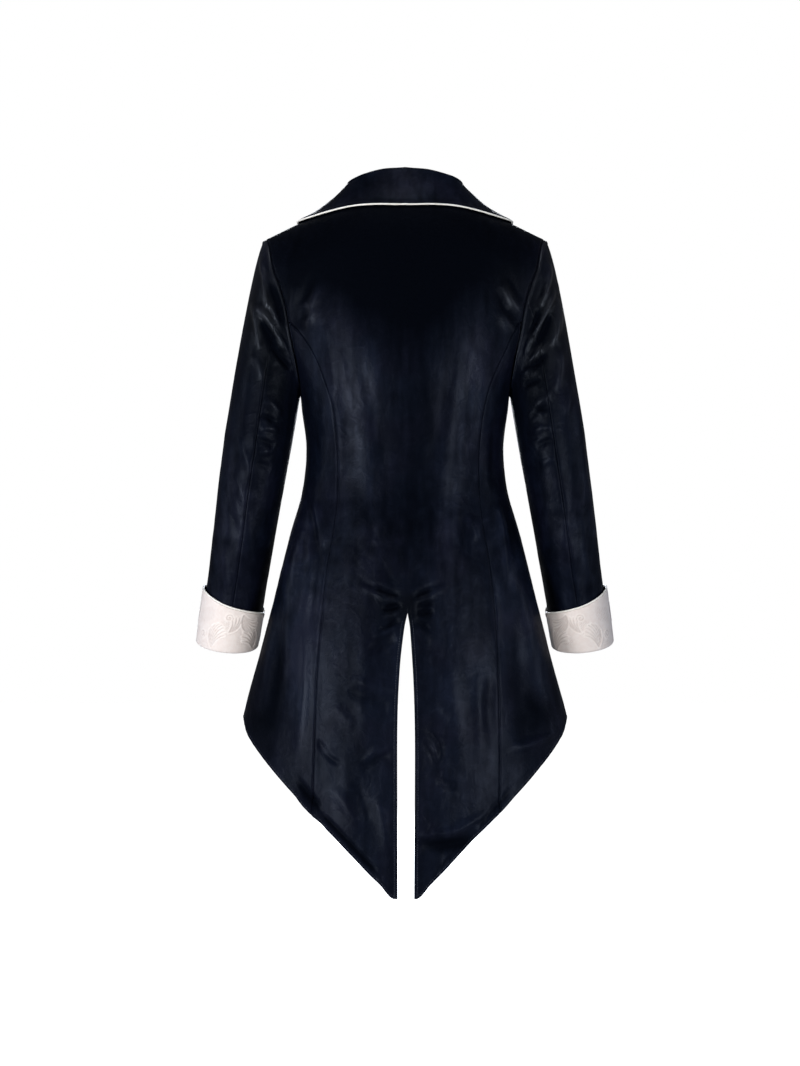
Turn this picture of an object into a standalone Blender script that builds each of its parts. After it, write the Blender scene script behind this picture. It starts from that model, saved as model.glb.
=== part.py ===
# Velvet tailcoat with a broad turned-down collar and turned-back pale cuffs.
# The garment's front faces -Y, its back +Y and the wearer's left +X. Tables are in millimetres and
# the wearer's shoulders, at the side of the neck, are at the origin.
import math

import bpy
import numpy as np

millimetre = 0.001

# Cloth walls and the gaps between pieces
velvetWall = 2.0
collarWall = 2.6
cuffWall = 2.4
seamInset = 0.2
sleeveGap = 0.5
collarLift = 2.6
cordRadius = 1.2
cordGap = 0.4
collarGap = 1.5

# Body: half width at the side seam, depth to the back and to the front, and how square each section is
bodySections = (
    ("height", "side", "back", "front", "square"),
    (
        (-1000, 262, 121, 112, 2.1),
        (-900, 251, 120, 112, 2.1),
        (-724, 228, 117, 112, 2.15),
        (-629, 203.5, 113, 110, 2.2),
        (-572, 189, 109, 108, 2.2),
        (-516, 175, 103, 106, 2.2),
        (-459, 159.5, 93, 102, 2.2),
        (-403, 144, 85, 99, 2.2),
        (-346, 138.5, 86, 104, 2.2),
        (-290, 145, 96, 122, 2.25),
        (-265, 148, 100, 128, 2.3),
        (-225, 163, 102, 130, 2.3),
        (-185, 177, 101, 124, 2.3),
        (-144, 186, 97, 112, 2.3),
        (-100, 197, 90, 98, 2.3),
        (-60, 208, 84, 88, 2.3),
        (0, 214, 82, 84, 2.3),
    ),
)
shoulderRoll = 75.0
shoulderFade = 200.0
shoulderRidge = (
    ("across", "rise"),
    ((0, 17), (40, 14), (75, 6), (147, -26), (199, -51), (240, -75)),
)

# Armhole: from the underarm (turn 0) over the back to the shoulder tip (turn 180), and the same in front
underarm = -265.0
armhole = (
    ("turn", "round"),
    ((0, 0), (20, 11), (40, 20), (60, 26), (90, 29), (120, 29.5), (150, 28), (180, 24)),
)
turnStep = 15
seamTurn = 75
tipDraw = 3.0

# Seams of the back, as distance from the middle of the back
backSeam = (
    ("height", "left", "right"),
    (
        (-960, 128, 129),
        (-830, 127, 129),
        (-769, 125, 129.5),
        (-647, 120.5, 127.5),
        (-576, 114.5, 125),
        (-503, 106.5, 117),
        (-463, 99.5, 109.5),
        (-415, 94, 104),
        (-363, 93.5, 102.5),
        (-306, 97.5, 107),
        (-284, 101, 111),
        (-257, 110, 119),
        (-215, 127.5, 138),
        (-186, 146, 151),
        (-167, 162, 162),
    ),
)

# Hem: the tails behind, the cutaway edge in front, and where both meet at the side
sideFoot = -724.0
tailHem = (
    ("across", "height"),
    (
        (0, -961.5),
        (15, -961.5),
        (35, -942),
        (98, -877),
        (140, -836),
        (181, -793),
        (215, -752),
        (222, -741),
    ),
)
cutaway = (
    ("across", "height"),
    ((0, -430), (8, -437), (22, -455), (50, -490), (90, -540), (140, -605), (190, -672)),
)
slitTop = -569.0
slit = (
    ("height", "middle", "half"),
    (
        (-966, -0.9, 11.3),
        (-760, -1.2, 12),
        (-700, -1.2, 11.2),
        (-665, -1.4, 9.8),
        (-637, -1.6, 8),
        (-610, -2.2, 5.6),
        (-590, -2.8, 3.4),
        (-569, -3.2, 0),
        (-300, 0, 0),
    ),
)

# Front edge above the waist, from the side of the neck down to where the collar rolls open
neckSide = 75.0
backNeck = -12.0
frontEdge = (
    ("height", "across"),
    ((-1000, 0.3), (-296, 0.3), (-250, 14), (-200, 28), (-150, 41), (-100, 53), (-50, 64), (0, 75)),
)

# Sleeve: centre line and size at each height
sleeveSections = (
    ("height", "out", "back", "width", "depth"),
    (
        (-650, 261, -57, 82, 80),
        (-621, 255, -50, 83, 82),
        (-565, 244.5, -36, 84, 85),
        (-530, 238.5, -28, 84.5, 87),
        (-487, 231.5, -17, 87, 92),
        (-417, 220.5, -4, 91, 100),
        (-346, 209, 2, 94.5, 110),
        (-330, 206.5, 3, 95.5, 112),
        (-250, 193, 4, 99, 118),
    ),
)
capFoot = -330.0
capRings = 8
sleeveFoot = -617.0
lowerRings = 9
wristDrop = 7.0
sleeveHead = (
    ("turn", "out", "back", "down"),
    (
        (0, 4, 0, 50),
        (45, 22, 4, 60),
        (90, 52, 14, 64),
        (135, 52, 12, 60),
        (180, 40, 0, 26),
    ),
)

# Cuff: profile from its inner lip, round the fold and up the outside, and the height of its top edge
cuffProfile = (
    ("step", "off", "up"),
    ((0, -5.0, -3.2), (1, -1.0, -3.3), (2, 1.8, -2.6), (3, 3.1, -0.3)),
)
cuffRows = 4
cuffTop = (
    ("turn", "tall", "stand"),
    ((0, 46, 3.4), (90, 60, 4.0), (180, 75, 5.4), (270, 60, 4.0), (360, 46, 3.4)),
)

# Collar, from the middle of the back (part 0) to its front end (part 1): how its roll lies from the neck seam
collarSections = (
    ("part", "out", "back", "up"),
    (
        (0.0, 0, -11, 40.5),
        (0.12, -1, -8, 39),
        (0.24, 0, -4, 34),
        (0.36, 3, -2, 26),
        (0.46, 0, -6, 16),
        (0.6, 0, -9, 8),
        (1.0, 0, -8, 1),
    ),
)
collarSide = 0.36
collarEnd = -282.0
rollRadius = 3.2
fallDrop = 3.0
collarEdgeBack = -26.0
collarEdgeSide = 154.0
collarEdge = (
    ("height", "across"),
    ((-290, 13), (-260, 42), (-200, 96), (-150, 134), (-100, 155), (-50, 160), (0, 154)),
)
stationsPerColumn = 2
frontStations = 15
fallSteps = 6

# Largest folds: a ridge (plus) or trough (minus) from one end to the other, seen from the back
backFolds = (
    ("fromAcross", "fromHeight", "toAcross", "toHeight", "width", "depth"),
    (
        (133, -150, 150, -185, 9, -2.5),
        (-143, -115, -165, -160, 9, -2.5),
        (176, -560, 205, -720, 14, 3.5),
        (158, -540, 178, -745, 11, -3.0),
        (-160, -540, -186, -740, 12, 3.5),
        (-145, -560, -165, -760, 11, -3.0),
        (16, -560, 52, -548, 8, -2.5),
        (-18, -560, -55, -550, 8, -2.5),
        (62, -250, 74, -420, 14, 2.0),
        (-60, -250, -70, -420, 14, 2.0),
    ),
)
sleeveFolds = (
    ("fromTurn", "fromHeight", "toTurn", "toHeight", "width", "depth"),
    (
        (150, -80, 112, -140, 10, -3.0),
        (168, -110, 120, -190, 11, -3.0),
        (150, -160, 95, -215, 10, -2.6),
        (60, -300, 20, -312, 9, -2.4),
        (80, -340, 25, -352, 9, -2.6),
        (70, -385, 20, -392, 9, -2.4),
        (300, -350, 345, -362, 10, -3.0),
        (295, -400, 350, -405, 10, -3.0),
        (215, -90, 250, -165, 11, -2.6),
    ),
)

# Number of steps along each piece
tailRows = 13
skirtRows = 6
waistRows = 5
lowerFoot = -961.0
lowerTop = -400.0
neckColumns = 5
shoulderColumns = 3
sideColumns = 5
frontColumns = 8


def curveOf(table, name):
    """A smooth curve through one named column of a table, over its first column, that never overshoots."""
    columns, rows = table
    along = np.array([row[0] for row in rows], float)
    value = np.array([row[columns.index(name)] for row in rows], float)
    step = np.diff(along)
    slope = np.diff(value) / step
    tangent = np.concatenate([[slope[0]], (slope[:-1] + slope[1:]) / 2, [slope[-1]]])
    limit = np.where(slope[:-1] * slope[1:] > 0, 3 * np.minimum(abs(slope[:-1]), abs(slope[1:])), 0)
    tangent[1:-1] = np.clip(tangent[1:-1], -limit, limit)

    def curve(at):
        at = np.clip(at, along[0], along[-1])
        i = np.clip(np.searchsorted(along, at, side="right") - 1, 0, len(step) - 1)
        u = (at - along[i]) / step[i]
        rise = value[i + 1] - value[i]
        return (
            value[i]
            + rise * u * u * (3 - 2 * u)
            + step[i] * u * (1 - u) * (tangent[i] * (1 - u) - tangent[i + 1] * u)
        )

    return curve


bodySide = curveOf(bodySections, "side")
bodyBack = curveOf(bodySections, "back")
bodyFront = curveOf(bodySections, "front")
bodySquare = curveOf(bodySections, "square")
ridgeRise = curveOf(shoulderRidge, "rise")
armholeRound = curveOf(armhole, "round")
frontEdgeAcross = curveOf(frontEdge, "across")
collarEdgeAcross = curveOf(collarEdge, "across")
slitHalf = curveOf(slit, "half")
slitMiddle = curveOf(slit, "middle")
sleeveOut = curveOf(sleeveSections, "out")
sleeveBack = curveOf(sleeveSections, "back")
sleeveWidth = curveOf(sleeveSections, "width")
sleeveDepth = curveOf(sleeveSections, "depth")
cuffTall = curveOf(cuffTop, "tall")
cuffStand = curveOf(cuffTop, "stand")


def unit(vectors):
    return vectors / np.maximum(np.linalg.norm(vectors, axis=-1, keepdims=True), 1e-9)


def smooth(at):
    at = np.clip(at, 0, 1)
    return at * at * (3 - 2 * at)


def foldDepth(table, across, height, perAcross=1.0):
    """How far the folds of a table raise the cloth at each point."""
    depth = np.zeros(np.broadcast(across, height).shape)
    for x1, z1, x2, z2, width, raised in table[1]:
        dx, dz = (x2 - x1) * perAcross, z2 - z1
        length = math.hypot(dx, dz)
        px, pz = (across - x1) * perAcross, height - z1
        part = (px * dx + pz * dz) / length**2
        away = abs(px * dz - pz * dx) / length
        beyond = np.maximum(0, abs(part - 0.5) - 0.5) * length
        shape = np.exp(-((away / width) ** 2) - (beyond / (1.5 * width)) ** 2)
        depth = depth + raised * shape
    return depth


def bodyBase(theta, height):
    side, square = bodySide(height), bodySquare(height)
    c, s = np.cos(theta), np.sin(theta)
    across = side * np.sign(c) * abs(c) ** (2 / square)
    depth = np.where(s >= 0, bodyBack(height), bodyFront(height))
    rolled = np.clip(-height / shoulderRoll, 0, 1)
    back = depth * np.sqrt(1 - (1 - rolled) ** 2) * np.sign(s) * abs(s) ** (2 / square)
    up = height + smooth((height + shoulderFade) / shoulderFade) * ridgeRise(abs(across))
    return np.stack(np.broadcast_arrays(across, back, up), axis=-1)


def bodyNormal(theta, height):
    high, low = np.minimum(height + 0.05, 0), np.minimum(height + 0.05, 0) - 0.1
    around = bodyBase(theta + 1e-3, height) - bodyBase(theta - 1e-3, height)
    up = bodyBase(theta, high) - bodyBase(theta, low)
    return unit(np.cross(around, up))


def bodyPoint(theta, height, side):
    """A point of the body's outside. Folds are seen from the back, so each side has its own."""
    base, normal = bodyBase(theta, height), bodyNormal(theta, height)
    raised = foldDepth(backFolds, side * base[..., 0], base[..., 2])
    raised = np.where(np.sin(theta) > 0, raised * smooth(np.sin(theta) * 4), 0)
    return base + normal * raised[..., None]


def thetaAt(across, height):
    """The direction at which a section reaches this far from the middle."""
    part = across / bodySide(height)
    return np.arccos(np.clip(np.sign(part) * abs(part) ** (bodySquare(height) / 2), -1, 1))


def heightOfTurn(turn):
    return underarm * (1 + math.cos(math.radians(turn))) / 2


def thetaOfTurn(turn):
    return math.radians(float(armholeRound(turn)))


def footHeight(thetaOf, hem):
    """Where a column of the cloth meets the hem line."""
    low, high = -1000.0, lowerTop
    for _ in range(50):
        middle = (low + high) / 2
        across = float(bodyBase(thetaOf(middle), middle)[0])
        low, high = (low, middle) if middle > hem(abs(across)) else (middle, high)
    return (low + high) / 2


def hemCurve(table):
    """A hem line that ends at the side foot, which the back and the front share."""
    columns, rows = table
    return curveOf((columns, rows + ((float(bodySide(sideFoot)), sideFoot),)), "height")


def lowerParts():
    part = (slitTop - lowerFoot) / (lowerTop - lowerFoot)
    return np.concatenate([np.linspace(0, part, tailRows + 1), np.linspace(part, 1, skirtRows + 1)[1:]])


def rowHeights(thetaOf, hem):
    """Heights of a column's points from its hem to the shoulder."""
    foot = footHeight(thetaOf, hem)
    lower = foot + (lowerTop - foot) * lowerParts()
    waist = np.linspace(lowerTop, underarm, waistRows + 1)[1:]
    upper = [heightOfTurn(turn) for turn in range(turnStep, 181, turnStep)]
    return np.concatenate([lower, waist, upper])


def panelGrid(nearTheta, farTheta, columns, hem, side):
    """Outside points and wall directions between two boundaries, each giving its direction at a row."""
    points, directions = [], []
    for column in range(columns + 1):
        part = column / columns

        def thetaOf(height, row=None, part=part):
            return (1 - part) * nearTheta(height, row) + part * farTheta(height, row)

        heights = rowHeights(thetaOf, hem)
        thetas = np.array([thetaOf(height, row) for row, height in enumerate(heights)])
        points.append(bodyPoint(thetas, heights, side))
        directions.append(bodyNormal(thetas, heights))
    flip = np.array([side, 1, 1])
    return np.stack(points, axis=1) * flip, np.stack(directions, axis=1) * flip


armholeRow = tailRows + skirtRows + waistRows


def turnOfRow(row):
    return (row - armholeRow) * turnStep


def insetEdge(points, edge, amount):
    """Draws one edge of a grid in towards its neighbour, to leave a seam gap."""
    line, inner = {
        "first": (points[:, 0], points[:, 1]),
        "last": (points[:, -1], points[:, -2]),
        "top": (points[-1], points[-2]),
        "foot": (points[0], points[1]),
    }[edge]
    line += unit(inner - line) * amount


def wallFaces(grids, wall):
    """Corner points and faces of a closed wall: each grid's outside, its inside and the rims between."""
    outer, inner, number, faces = [], [], {}, []
    for points, directions in grids:
        key = np.empty(points.shape[:2], int)
        for spot in np.ndindex(points.shape[:2]):
            place = tuple(np.round(points[spot], 3) + 0.0)
            if place not in number:
                number[place] = len(outer)
                outer.append(points[spot])
                inner.append(points[spot] - directions[spot] * wall)
            key[spot] = number[place]
        for row in range(points.shape[0] - 1):
            for column in range(points.shape[1] - 1):
                corners = [key[row, column], key[row, column + 1]]
                corners += [key[row + 1, column + 1], key[row + 1, column]]
                corners = [c for c, before in zip(corners, corners[-1:] + corners) if c != before]
                if len(corners) > 2:
                    faces.append(corners)
    count = len(outer)
    edges = {}
    for face in faces:
        for start, end in zip(face, face[1:] + face[:1]):
            edges[(start, end)] = edges.get((start, end), 0) + 1
    closed = list(faces)
    closed += [[corner + count for corner in reversed(face)] for face in faces]
    for start, end in edges:
        if (end, start) not in edges:
            closed.append([end, start, start + count, end + count])
    return np.array(outer + inner), closed


def signedVolume(points, faces):
    total = 0.0
    for face in faces:
        for second, third in zip(face[1:], face[2:]):
            total += np.dot(points[face[0]], np.cross(points[second], points[third]))
    return total


def makeMaterial(name, colour, roughness):
    material = bpy.data.materials.new(name)
    material.use_nodes = True
    shader = material.node_tree.nodes["Principled BSDF"]
    shader.inputs["Base Color"].default_value = (*colour, 1)
    shader.inputs["Roughness"].default_value = roughness
    shader.inputs["Metallic"].default_value = 0.0
    material.diffuse_color = (*colour, 1)
    return material


def addPiece(name, grids, wall, colour, roughness):
    points, faces = wallFaces(grids, wall)
    if signedVolume(points, faces) < 0:
        faces = [list(reversed(face)) for face in faces]
    mesh = bpy.data.meshes.new(name)
    mesh.from_pydata((points * millimetre).tolist(), [], faces)
    mesh.materials.append(makeMaterial(name, colour, roughness))
    piece = bpy.data.objects.new(name, mesh)
    garment.objects.link(piece)
    return piece


def addCord(name, path, closed):
    """A round cord along a path, with capped ends."""
    curve = bpy.data.curves.new(name, "CURVE")
    curve.dimensions = "3D"
    curve.bevel_depth = cordRadius * millimetre
    curve.bevel_resolution = 1
    curve.use_fill_caps = not closed
    spline = curve.splines.new("POLY")
    spline.points.add(len(path) - 1)
    for point, place in zip(spline.points, path):
        point.co = (*(place * millimetre), 1)
    spline.use_cyclic_u = closed
    curve.materials.append(makeMaterial(name, pipingColour, 0.45))
    cord = bpy.data.objects.new(name, curve)
    garment.objects.link(cord)


velvetColour = (0.006, 0.008, 0.017)
cuffColour = (0.82, 0.77, 0.74)
pipingColour = (0.86, 0.85, 0.80)
sideNames = {1: "left", -1: "right"}


def seamTheta(side):
    across = curveOf(backSeam, sideNames[side])

    def theta(height, row=None):
        if row is None or row < armholeRow or turnOfRow(row) < seamTurn:
            return float(thetaAt(across(height), height))
        return thetaOfTurn(turnOfRow(row))

    return theta


def middleTheta(side):
    def theta(height, row=None):
        return float(thetaAt(side * slitMiddle(height) + slitHalf(height), height))

    return theta


def sideTheta(height, row=None):
    return 0.0 if row is None or row < armholeRow else thetaOfTurn(turnOfRow(row))


def frontSideTheta(height, row=None):
    return -sideTheta(height, row)


def frontEdgeTheta(height, row=None):
    return -float(thetaAt(frontEdgeAcross(height), height))


def armholeSpot(turn):
    """Direction and height of the armhole's edge, the back half up to turn 180 and the front half beyond."""
    if turn <= 180:
        return thetaOfTurn(turn), heightOfTurn(turn)
    return -thetaOfTurn(360 - turn), heightOfTurn(360 - turn)


def setArmholeDirections(directions, column, side, sign):
    """At the armhole both walls are cut along the same line, so that they can't cross."""
    flip = np.array([side, 1, 1])
    for row in range(armholeRow, directions.shape[0]):
        turn = turnOfRow(row) if sign > 0 else (360 - turnOfRow(row)) % 360
        directions[row, column] = armholeDirections(turn)[0] * flip


def neckSpot(part):
    """A point of the back neckline, from the middle of the back (0) to the side of the neck (1)."""
    theta = math.pi / 2 + (float(thetaAt(neckSide, 0.0)) - math.pi / 2) * part
    across = float(bodyBase(theta, 0.0)[0])
    return theta, backNeck * (1 - (across / neckSide) ** 2)


def neckTops():
    """Where each column of the back ends, on the neckline and then on the shoulder seam."""
    thetaNeck, thetaTip = float(thetaAt(neckSide, 0.0)), thetaOfTurn(180)
    tops = [neckSpot(column / neckColumns) for column in range(neckColumns + 1)]
    for column in range(1, shoulderColumns + 1):
        tops.append((thetaNeck + (thetaTip - thetaNeck) * column / shoulderColumns, 0.0))
    return tops


def shapeNeck(points, directions, side):
    """Draws the upper rows of the back to its neckline and shoulder seam."""
    flip = np.array([side, 1, 1])
    columns = points.shape[1] - 1
    edge = seamTheta(side)
    for column, (topTheta, topHeight) in enumerate(neckTops()):
        part = column / columns
        plain = math.pi / 2 + (thetaOfTurn(180) - math.pi / 2) * part
        for row in range(armholeRow + 1, points.shape[0]):
            full = heightOfTurn(turnOfRow(row))
            risen = (full - underarm) / -underarm
            height = underarm + risen * (topHeight - underarm)
            theta = math.pi / 2 + (edge(full, row) - math.pi / 2) * part + (topTheta - plain) * smooth(risen)
            points[row, column] = bodyPoint(theta, height, side) * flip
            directions[row, column] = bodyNormal(theta, height) * flip


def buildBack():
    halves = []
    for side in (1, -1):
        points, directions = panelGrid(
            middleTheta(side), seamTheta(side), neckColumns + shoulderColumns, tailHemHeight, side
        )
        shapeNeck(points, directions, side)
        for row in range(armholeRow + seamTurn // turnStep, points.shape[0]):
            directions[row, -1] = armholeDirections(turnOfRow(row))[0] * np.array([side, 1, 1])
        insetEdge(points, "last", seamInset)
        insetEdge(points, "top", seamInset)
        halves.append((points, directions))
    left, right = halves
    right = (right[0][:, ::-1], right[1][:, ::-1])
    addPiece("back", [right, left], velvetWall, velvetColour, 0.85)


def buildSideBack(side):
    points, directions = panelGrid(seamTheta(side), sideTheta, sideColumns, tailHemHeight, side)
    last = armholeRow + seamTurn // turnStep
    points, directions = points[: last + 1], directions[: last + 1]
    setArmholeDirections(directions, -1, side, 1)
    insetEdge(points, "first", seamInset)
    for row in range(armholeRow):
        points[row, -1] += unit(points[row, -2] - points[row, -1]) * seamInset
    below = points[-2].mean(axis=0)
    points[-1] = points[-1].mean(axis=0) + unit(below - points[-1].mean(axis=0)) * tipDraw
    directions[-1] = unit(directions[-1].mean(axis=0))
    if side < 0:
        points, directions = points[:, ::-1], directions[:, ::-1]
    addPiece(f"side_back_{sideNames[side]}", [(points, directions)], velvetWall, velvetColour, 0.85)


def buildFront(side):
    points, directions = panelGrid(frontSideTheta, frontEdgeTheta, frontColumns, cutawayHeight, side)
    setArmholeDirections(directions, 0, side, -1)
    for row in range(armholeRow):
        points[row, 0] += unit(points[row, 1] - points[row, 0]) * seamInset
    insetEdge(points, "top", seamInset)
    if side > 0:
        points, directions = points[:, ::-1], directions[:, ::-1]
    addPiece(f"front_{sideNames[side]}", [(points, directions)], velvetWall, velvetColour, 0.85)


def sleeveAxis(height):
    centre = np.array([float(sleeveOut(height)), float(sleeveBack(height)), height])
    above = np.array([float(sleeveOut(height + 5)), float(sleeveBack(height + 5)), height + 5])
    along = unit(centre - above)
    out = unit(np.array([1.0, 0, 0]) - along[0] * along)
    return centre, along, out, np.cross(out, along)


def sleeveRing(turn, height):
    centre, along, out, back = sleeveAxis(height)
    angle = math.radians(turn)
    wide, deep = float(sleeveWidth(height)) / 2, float(sleeveDepth(height)) / 2
    return centre - out * wide * math.cos(angle) + back * deep * math.sin(angle)


def wristFall(turn):
    """The wrist's edge is cut lower on the outer side."""
    return wristDrop * (1 - math.cos(math.radians(turn))) / 2


headOut = curveOf(sleeveHead, "out")
headBack = curveOf(sleeveHead, "back")
headDown = curveOf(sleeveHead, "down")


def sleeveBase(turn, part):
    """The sleeve's outside: part 0 is the armhole, 1 the end of the cap and 2 the wrist."""
    turn = turn % 360
    if part > 1:
        height = capFoot + (sleeveFoot - capFoot) * (part - 1) - wristFall(turn) * (part - 1) ** 3
        return sleeveRing(turn, height)
    theta, height = armholeSpot(turn)
    start = bodyBase(theta, height) + np.array([sleeveGap, 0, 0])
    end = sleeveRing(turn, capFoot)
    folded = min(turn, 360 - turn)
    facing = 1 if turn <= 180 else -1
    leave = np.array([headOut(folded), facing * headBack(folded), -headDown(folded)])
    arrive = sleeveAxis(capFoot)[1] * np.linalg.norm(end - start) * 0.9
    u = part
    return (
        start * (1 + 2 * u) * (1 - u) ** 2
        + leave * u * (1 - u) ** 2
        + end * u * u * (3 - 2 * u)
        - arrive * u * u * (1 - u)
    )


def sleeveNormal(turn, part):
    low, high = max(part - 0.01, 0), min(part + 0.01, 2)
    around = sleeveBase(turn + 1, part) - sleeveBase(turn - 1, part)
    down = sleeveBase(turn, high) - sleeveBase(turn, low)
    return unit(np.cross(around, down))


def armholeDirections(turn):
    """Wall directions of the body and of the sleeve where they meet."""
    body, sleeve = bodyNormal(*armholeSpot(turn)), sleeveNormal(turn, 0)
    shared = smooth((float(np.dot(body, sleeve)) + 0.2) / 0.5)
    return unit(body + sleeve * shared), unit(sleeve + body * shared)


def sleevePoint(turn, part):
    base, normal = sleeveBase(turn, part), sleeveNormal(turn, part)
    raised = foldDepth(sleeveFolds, np.array(turn % 360.0), base[2], perAcross=0.9)
    return base + normal * float(raised) * smooth(part * 6)


def buildSleeve(side, name, firstTurn, lastTurn):
    parts = list(np.linspace(0, 1, capRings + 1)) + list(np.linspace(1, 2, lowerRings + 1)[1:])
    turns = np.arange(firstTurn, lastTurn + 1, turnStep)
    points = np.array([[sleevePoint(turn, part) for turn in turns] for part in parts])
    directions = np.array([[sleeveNormal(turn, part) for turn in turns] for part in parts])
    directions[0] = [armholeDirections(turn % 360)[1] for turn in turns]
    insetEdge(points, "first", seamInset)
    insetEdge(points, "last", seamInset)
    flip = np.array([side, 1, 1])
    addPiece(f"{name}_{sideNames[side]}", [(points * flip, directions * flip)], velvetWall, velvetColour, 0.85)


def gridNormals(points, ring=False):
    """Normals of a grid of points, from its neighbours. A ring's first column is also its last."""
    padded = np.concatenate([points[:, -2:-1], points, points[:, 1:2]], axis=1) if ring else points
    normals = unit(np.cross(np.gradient(padded, axis=1), np.gradient(padded, axis=0)))
    return normals[:, 1:-1] if ring else normals


def buildCuff(side):
    flip = np.array([side, 1, 1])
    turns = np.arange(0, 361, turnStep)
    points = []
    for turn in turns:
        tall, stand = float(cuffTall(turn)), float(cuffStand(turn))
        profile = [(off, up) for _, off, up in cuffProfile[1]]
        start = profile[-1][0]
        for row in range(1, cuffRows + 1):
            profile.append((start + (stand - start) * row / cuffRows, tall * row / cuffRows))
        line = []
        for off, up in profile:
            height = sleeveFoot + up - wristFall(turn)
            ring = sleeveRing(turn, height)
            line.append(ring + unit(ring - sleeveAxis(height)[0]) * off)
        points.append(line)
    points = np.array(points).transpose(1, 0, 2)
    normals = gridNormals(points, ring=True)
    if np.dot(normals[-1, 0], points[-1, 0] - points[-1, len(turns) // 2]) < 0:
        normals = -normals
    name = sideNames[side]
    addPiece(f"cuff_{name}", [(points * flip, normals * flip)], cuffWall, cuffColour, 0.6)
    edge = points[-1] - normals[-1] * cuffWall / 2
    path = edge + unit(points[-1] - points[-2]) * (cordRadius + cordGap)
    addCord(f"cuff_piping_{name}", path[:-1] * flip, closed=True)


def collarSpots():
    """For each station: its part, the neckline's direction and height, and those of the collar's edge."""
    spots = []
    backStations = neckColumns * stationsPerColumn
    for station in range(backStations):
        part = station / backStations
        theta, height = neckSpot(part)
        edgeHeight = collarEdgeBack * (1 - part**1.6)
        edgeTheta = float(thetaAt(collarEdgeSide * part, edgeHeight))
        spots.append((part * collarSide, theta, height, edgeTheta, edgeHeight))
    for station in range(frontStations + 1):
        part = station / frontStations
        height = collarEnd * part * (0.4 + 0.6 * part)
        edgeHeight = height * 1.02
        theta = -float(thetaAt(frontEdgeAcross(height), height))
        edgeTheta = -float(thetaAt(collarEdgeAcross(edgeHeight), edgeHeight))
        spots.append((collarSide + part * (1 - collarSide), theta, height, edgeTheta, edgeHeight))
    return spots


def collarSection(part, neckTheta, height, edgeTheta, edgeHeight):
    """Middle of the collar's wall, from its base beside the seam, over the roll, to its outer edge."""
    away, wall = collarLift + collarWall / 2, velvetWall / 2
    parts = np.linspace(0, 1, fallSteps + 1)
    thetas = neckTheta + (edgeTheta - neckTheta) * parts
    heights = height + (edgeHeight - height) * parts
    lying = bodyBase(thetas, heights) + bodyNormal(thetas, heights) * away
    seam, normal = bodyBase(neckTheta, height), bodyNormal(neckTheta, height)
    outward = unit(lying[1] - lying[0])
    lift = np.array([collarOut(part), collarBack(part), collarUp(part)])
    upward = unit(lift)
    slant = math.sqrt(max(0, 1 - float(np.dot(upward, outward)) ** 2))
    base = seam - normal * wall - outward * (collarGap + slant * collarWall / 2)
    top = base + lift
    sideways = unit(outward - upward * np.dot(outward, upward))
    roll = min(rollRadius, 0.45 * np.linalg.norm(lift) + 0.4)
    centre = top - upward * roll + sideways * roll
    section = [base, base + (top - base) * 0.45]
    for angle in (180, 135, 90, 45, 0):
        turned = math.radians(angle)
        section.append(centre + (sideways * math.cos(turned) + upward * math.sin(turned)) * roll)
    over = section[-1] - lying[0]
    for step in range(1, fallSteps + 1):
        section.append(lying[step] + over * (1 - parts[step]) ** fallDrop)
    return section


def buildCollar():
    half = np.array([collarSection(*spot) for spot in collarSpots()]).transpose(1, 0, 2)
    mirrored = half[:, :0:-1] * np.array([-1, 1, 1])
    points = np.concatenate([mirrored, half], axis=1)
    normals = gridNormals(points)
    if normals[-1, points.shape[1] // 2, 1] < 0:
        normals = -normals
    addPiece("collar", [(points + normals * collarWall / 2, normals)], collarWall, velvetColour, 0.85)
    edge = points[-1]
    aside = unit(np.cross(np.gradient(edge, axis=0), normals[-1]))
    if np.dot(aside[len(edge) // 2], edge[len(edge) // 2] - points[-2, len(edge) // 2]) < 0:
        aside = -aside
    addCord("collar_piping", edge + aside * (cordRadius + cordGap), closed=False)


tailHemHeight = hemCurve(tailHem)
cutawayHeight = hemCurve(cutaway)
collarOut = curveOf(collarSections, "out")
collarBack = curveOf(collarSections, "back")
collarUp = curveOf(collarSections, "up")

for old in list(bpy.data.objects):
    bpy.data.objects.remove(old, do_unlink=True)
garment = bpy.data.collections.new("pirate_jacket")
bpy.context.scene.collection.children.link(garment)

buildBack()
for side in (1, -1):
    buildSideBack(side)
    buildFront(side)
    buildSleeve(side, "top_sleeve", 90, 270)
    buildSleeve(side, "under_sleeve", -90, 90)
    buildCuff(side)
buildCollar()
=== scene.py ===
import math

import bpy
import numpy as np
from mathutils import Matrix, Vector


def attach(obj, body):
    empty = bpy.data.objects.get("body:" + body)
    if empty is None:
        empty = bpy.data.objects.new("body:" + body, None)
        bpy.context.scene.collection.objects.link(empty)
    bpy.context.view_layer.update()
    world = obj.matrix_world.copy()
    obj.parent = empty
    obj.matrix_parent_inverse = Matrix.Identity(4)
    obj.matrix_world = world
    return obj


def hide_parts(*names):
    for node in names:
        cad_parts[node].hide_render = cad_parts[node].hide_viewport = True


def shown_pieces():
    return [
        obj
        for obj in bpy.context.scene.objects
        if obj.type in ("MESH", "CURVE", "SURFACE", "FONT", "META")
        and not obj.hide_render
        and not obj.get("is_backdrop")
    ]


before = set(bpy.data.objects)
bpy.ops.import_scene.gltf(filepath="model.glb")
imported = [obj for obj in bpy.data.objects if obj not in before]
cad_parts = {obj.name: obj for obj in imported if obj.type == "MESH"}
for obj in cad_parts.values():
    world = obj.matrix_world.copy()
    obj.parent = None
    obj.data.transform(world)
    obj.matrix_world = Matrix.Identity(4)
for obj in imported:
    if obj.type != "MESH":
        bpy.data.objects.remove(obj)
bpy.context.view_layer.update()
mm = 0.001  # every size below is in millimetres, from between the wearer's shoulders
sideNames = {1: "left", -1: "right"}


# Small helpers

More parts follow.
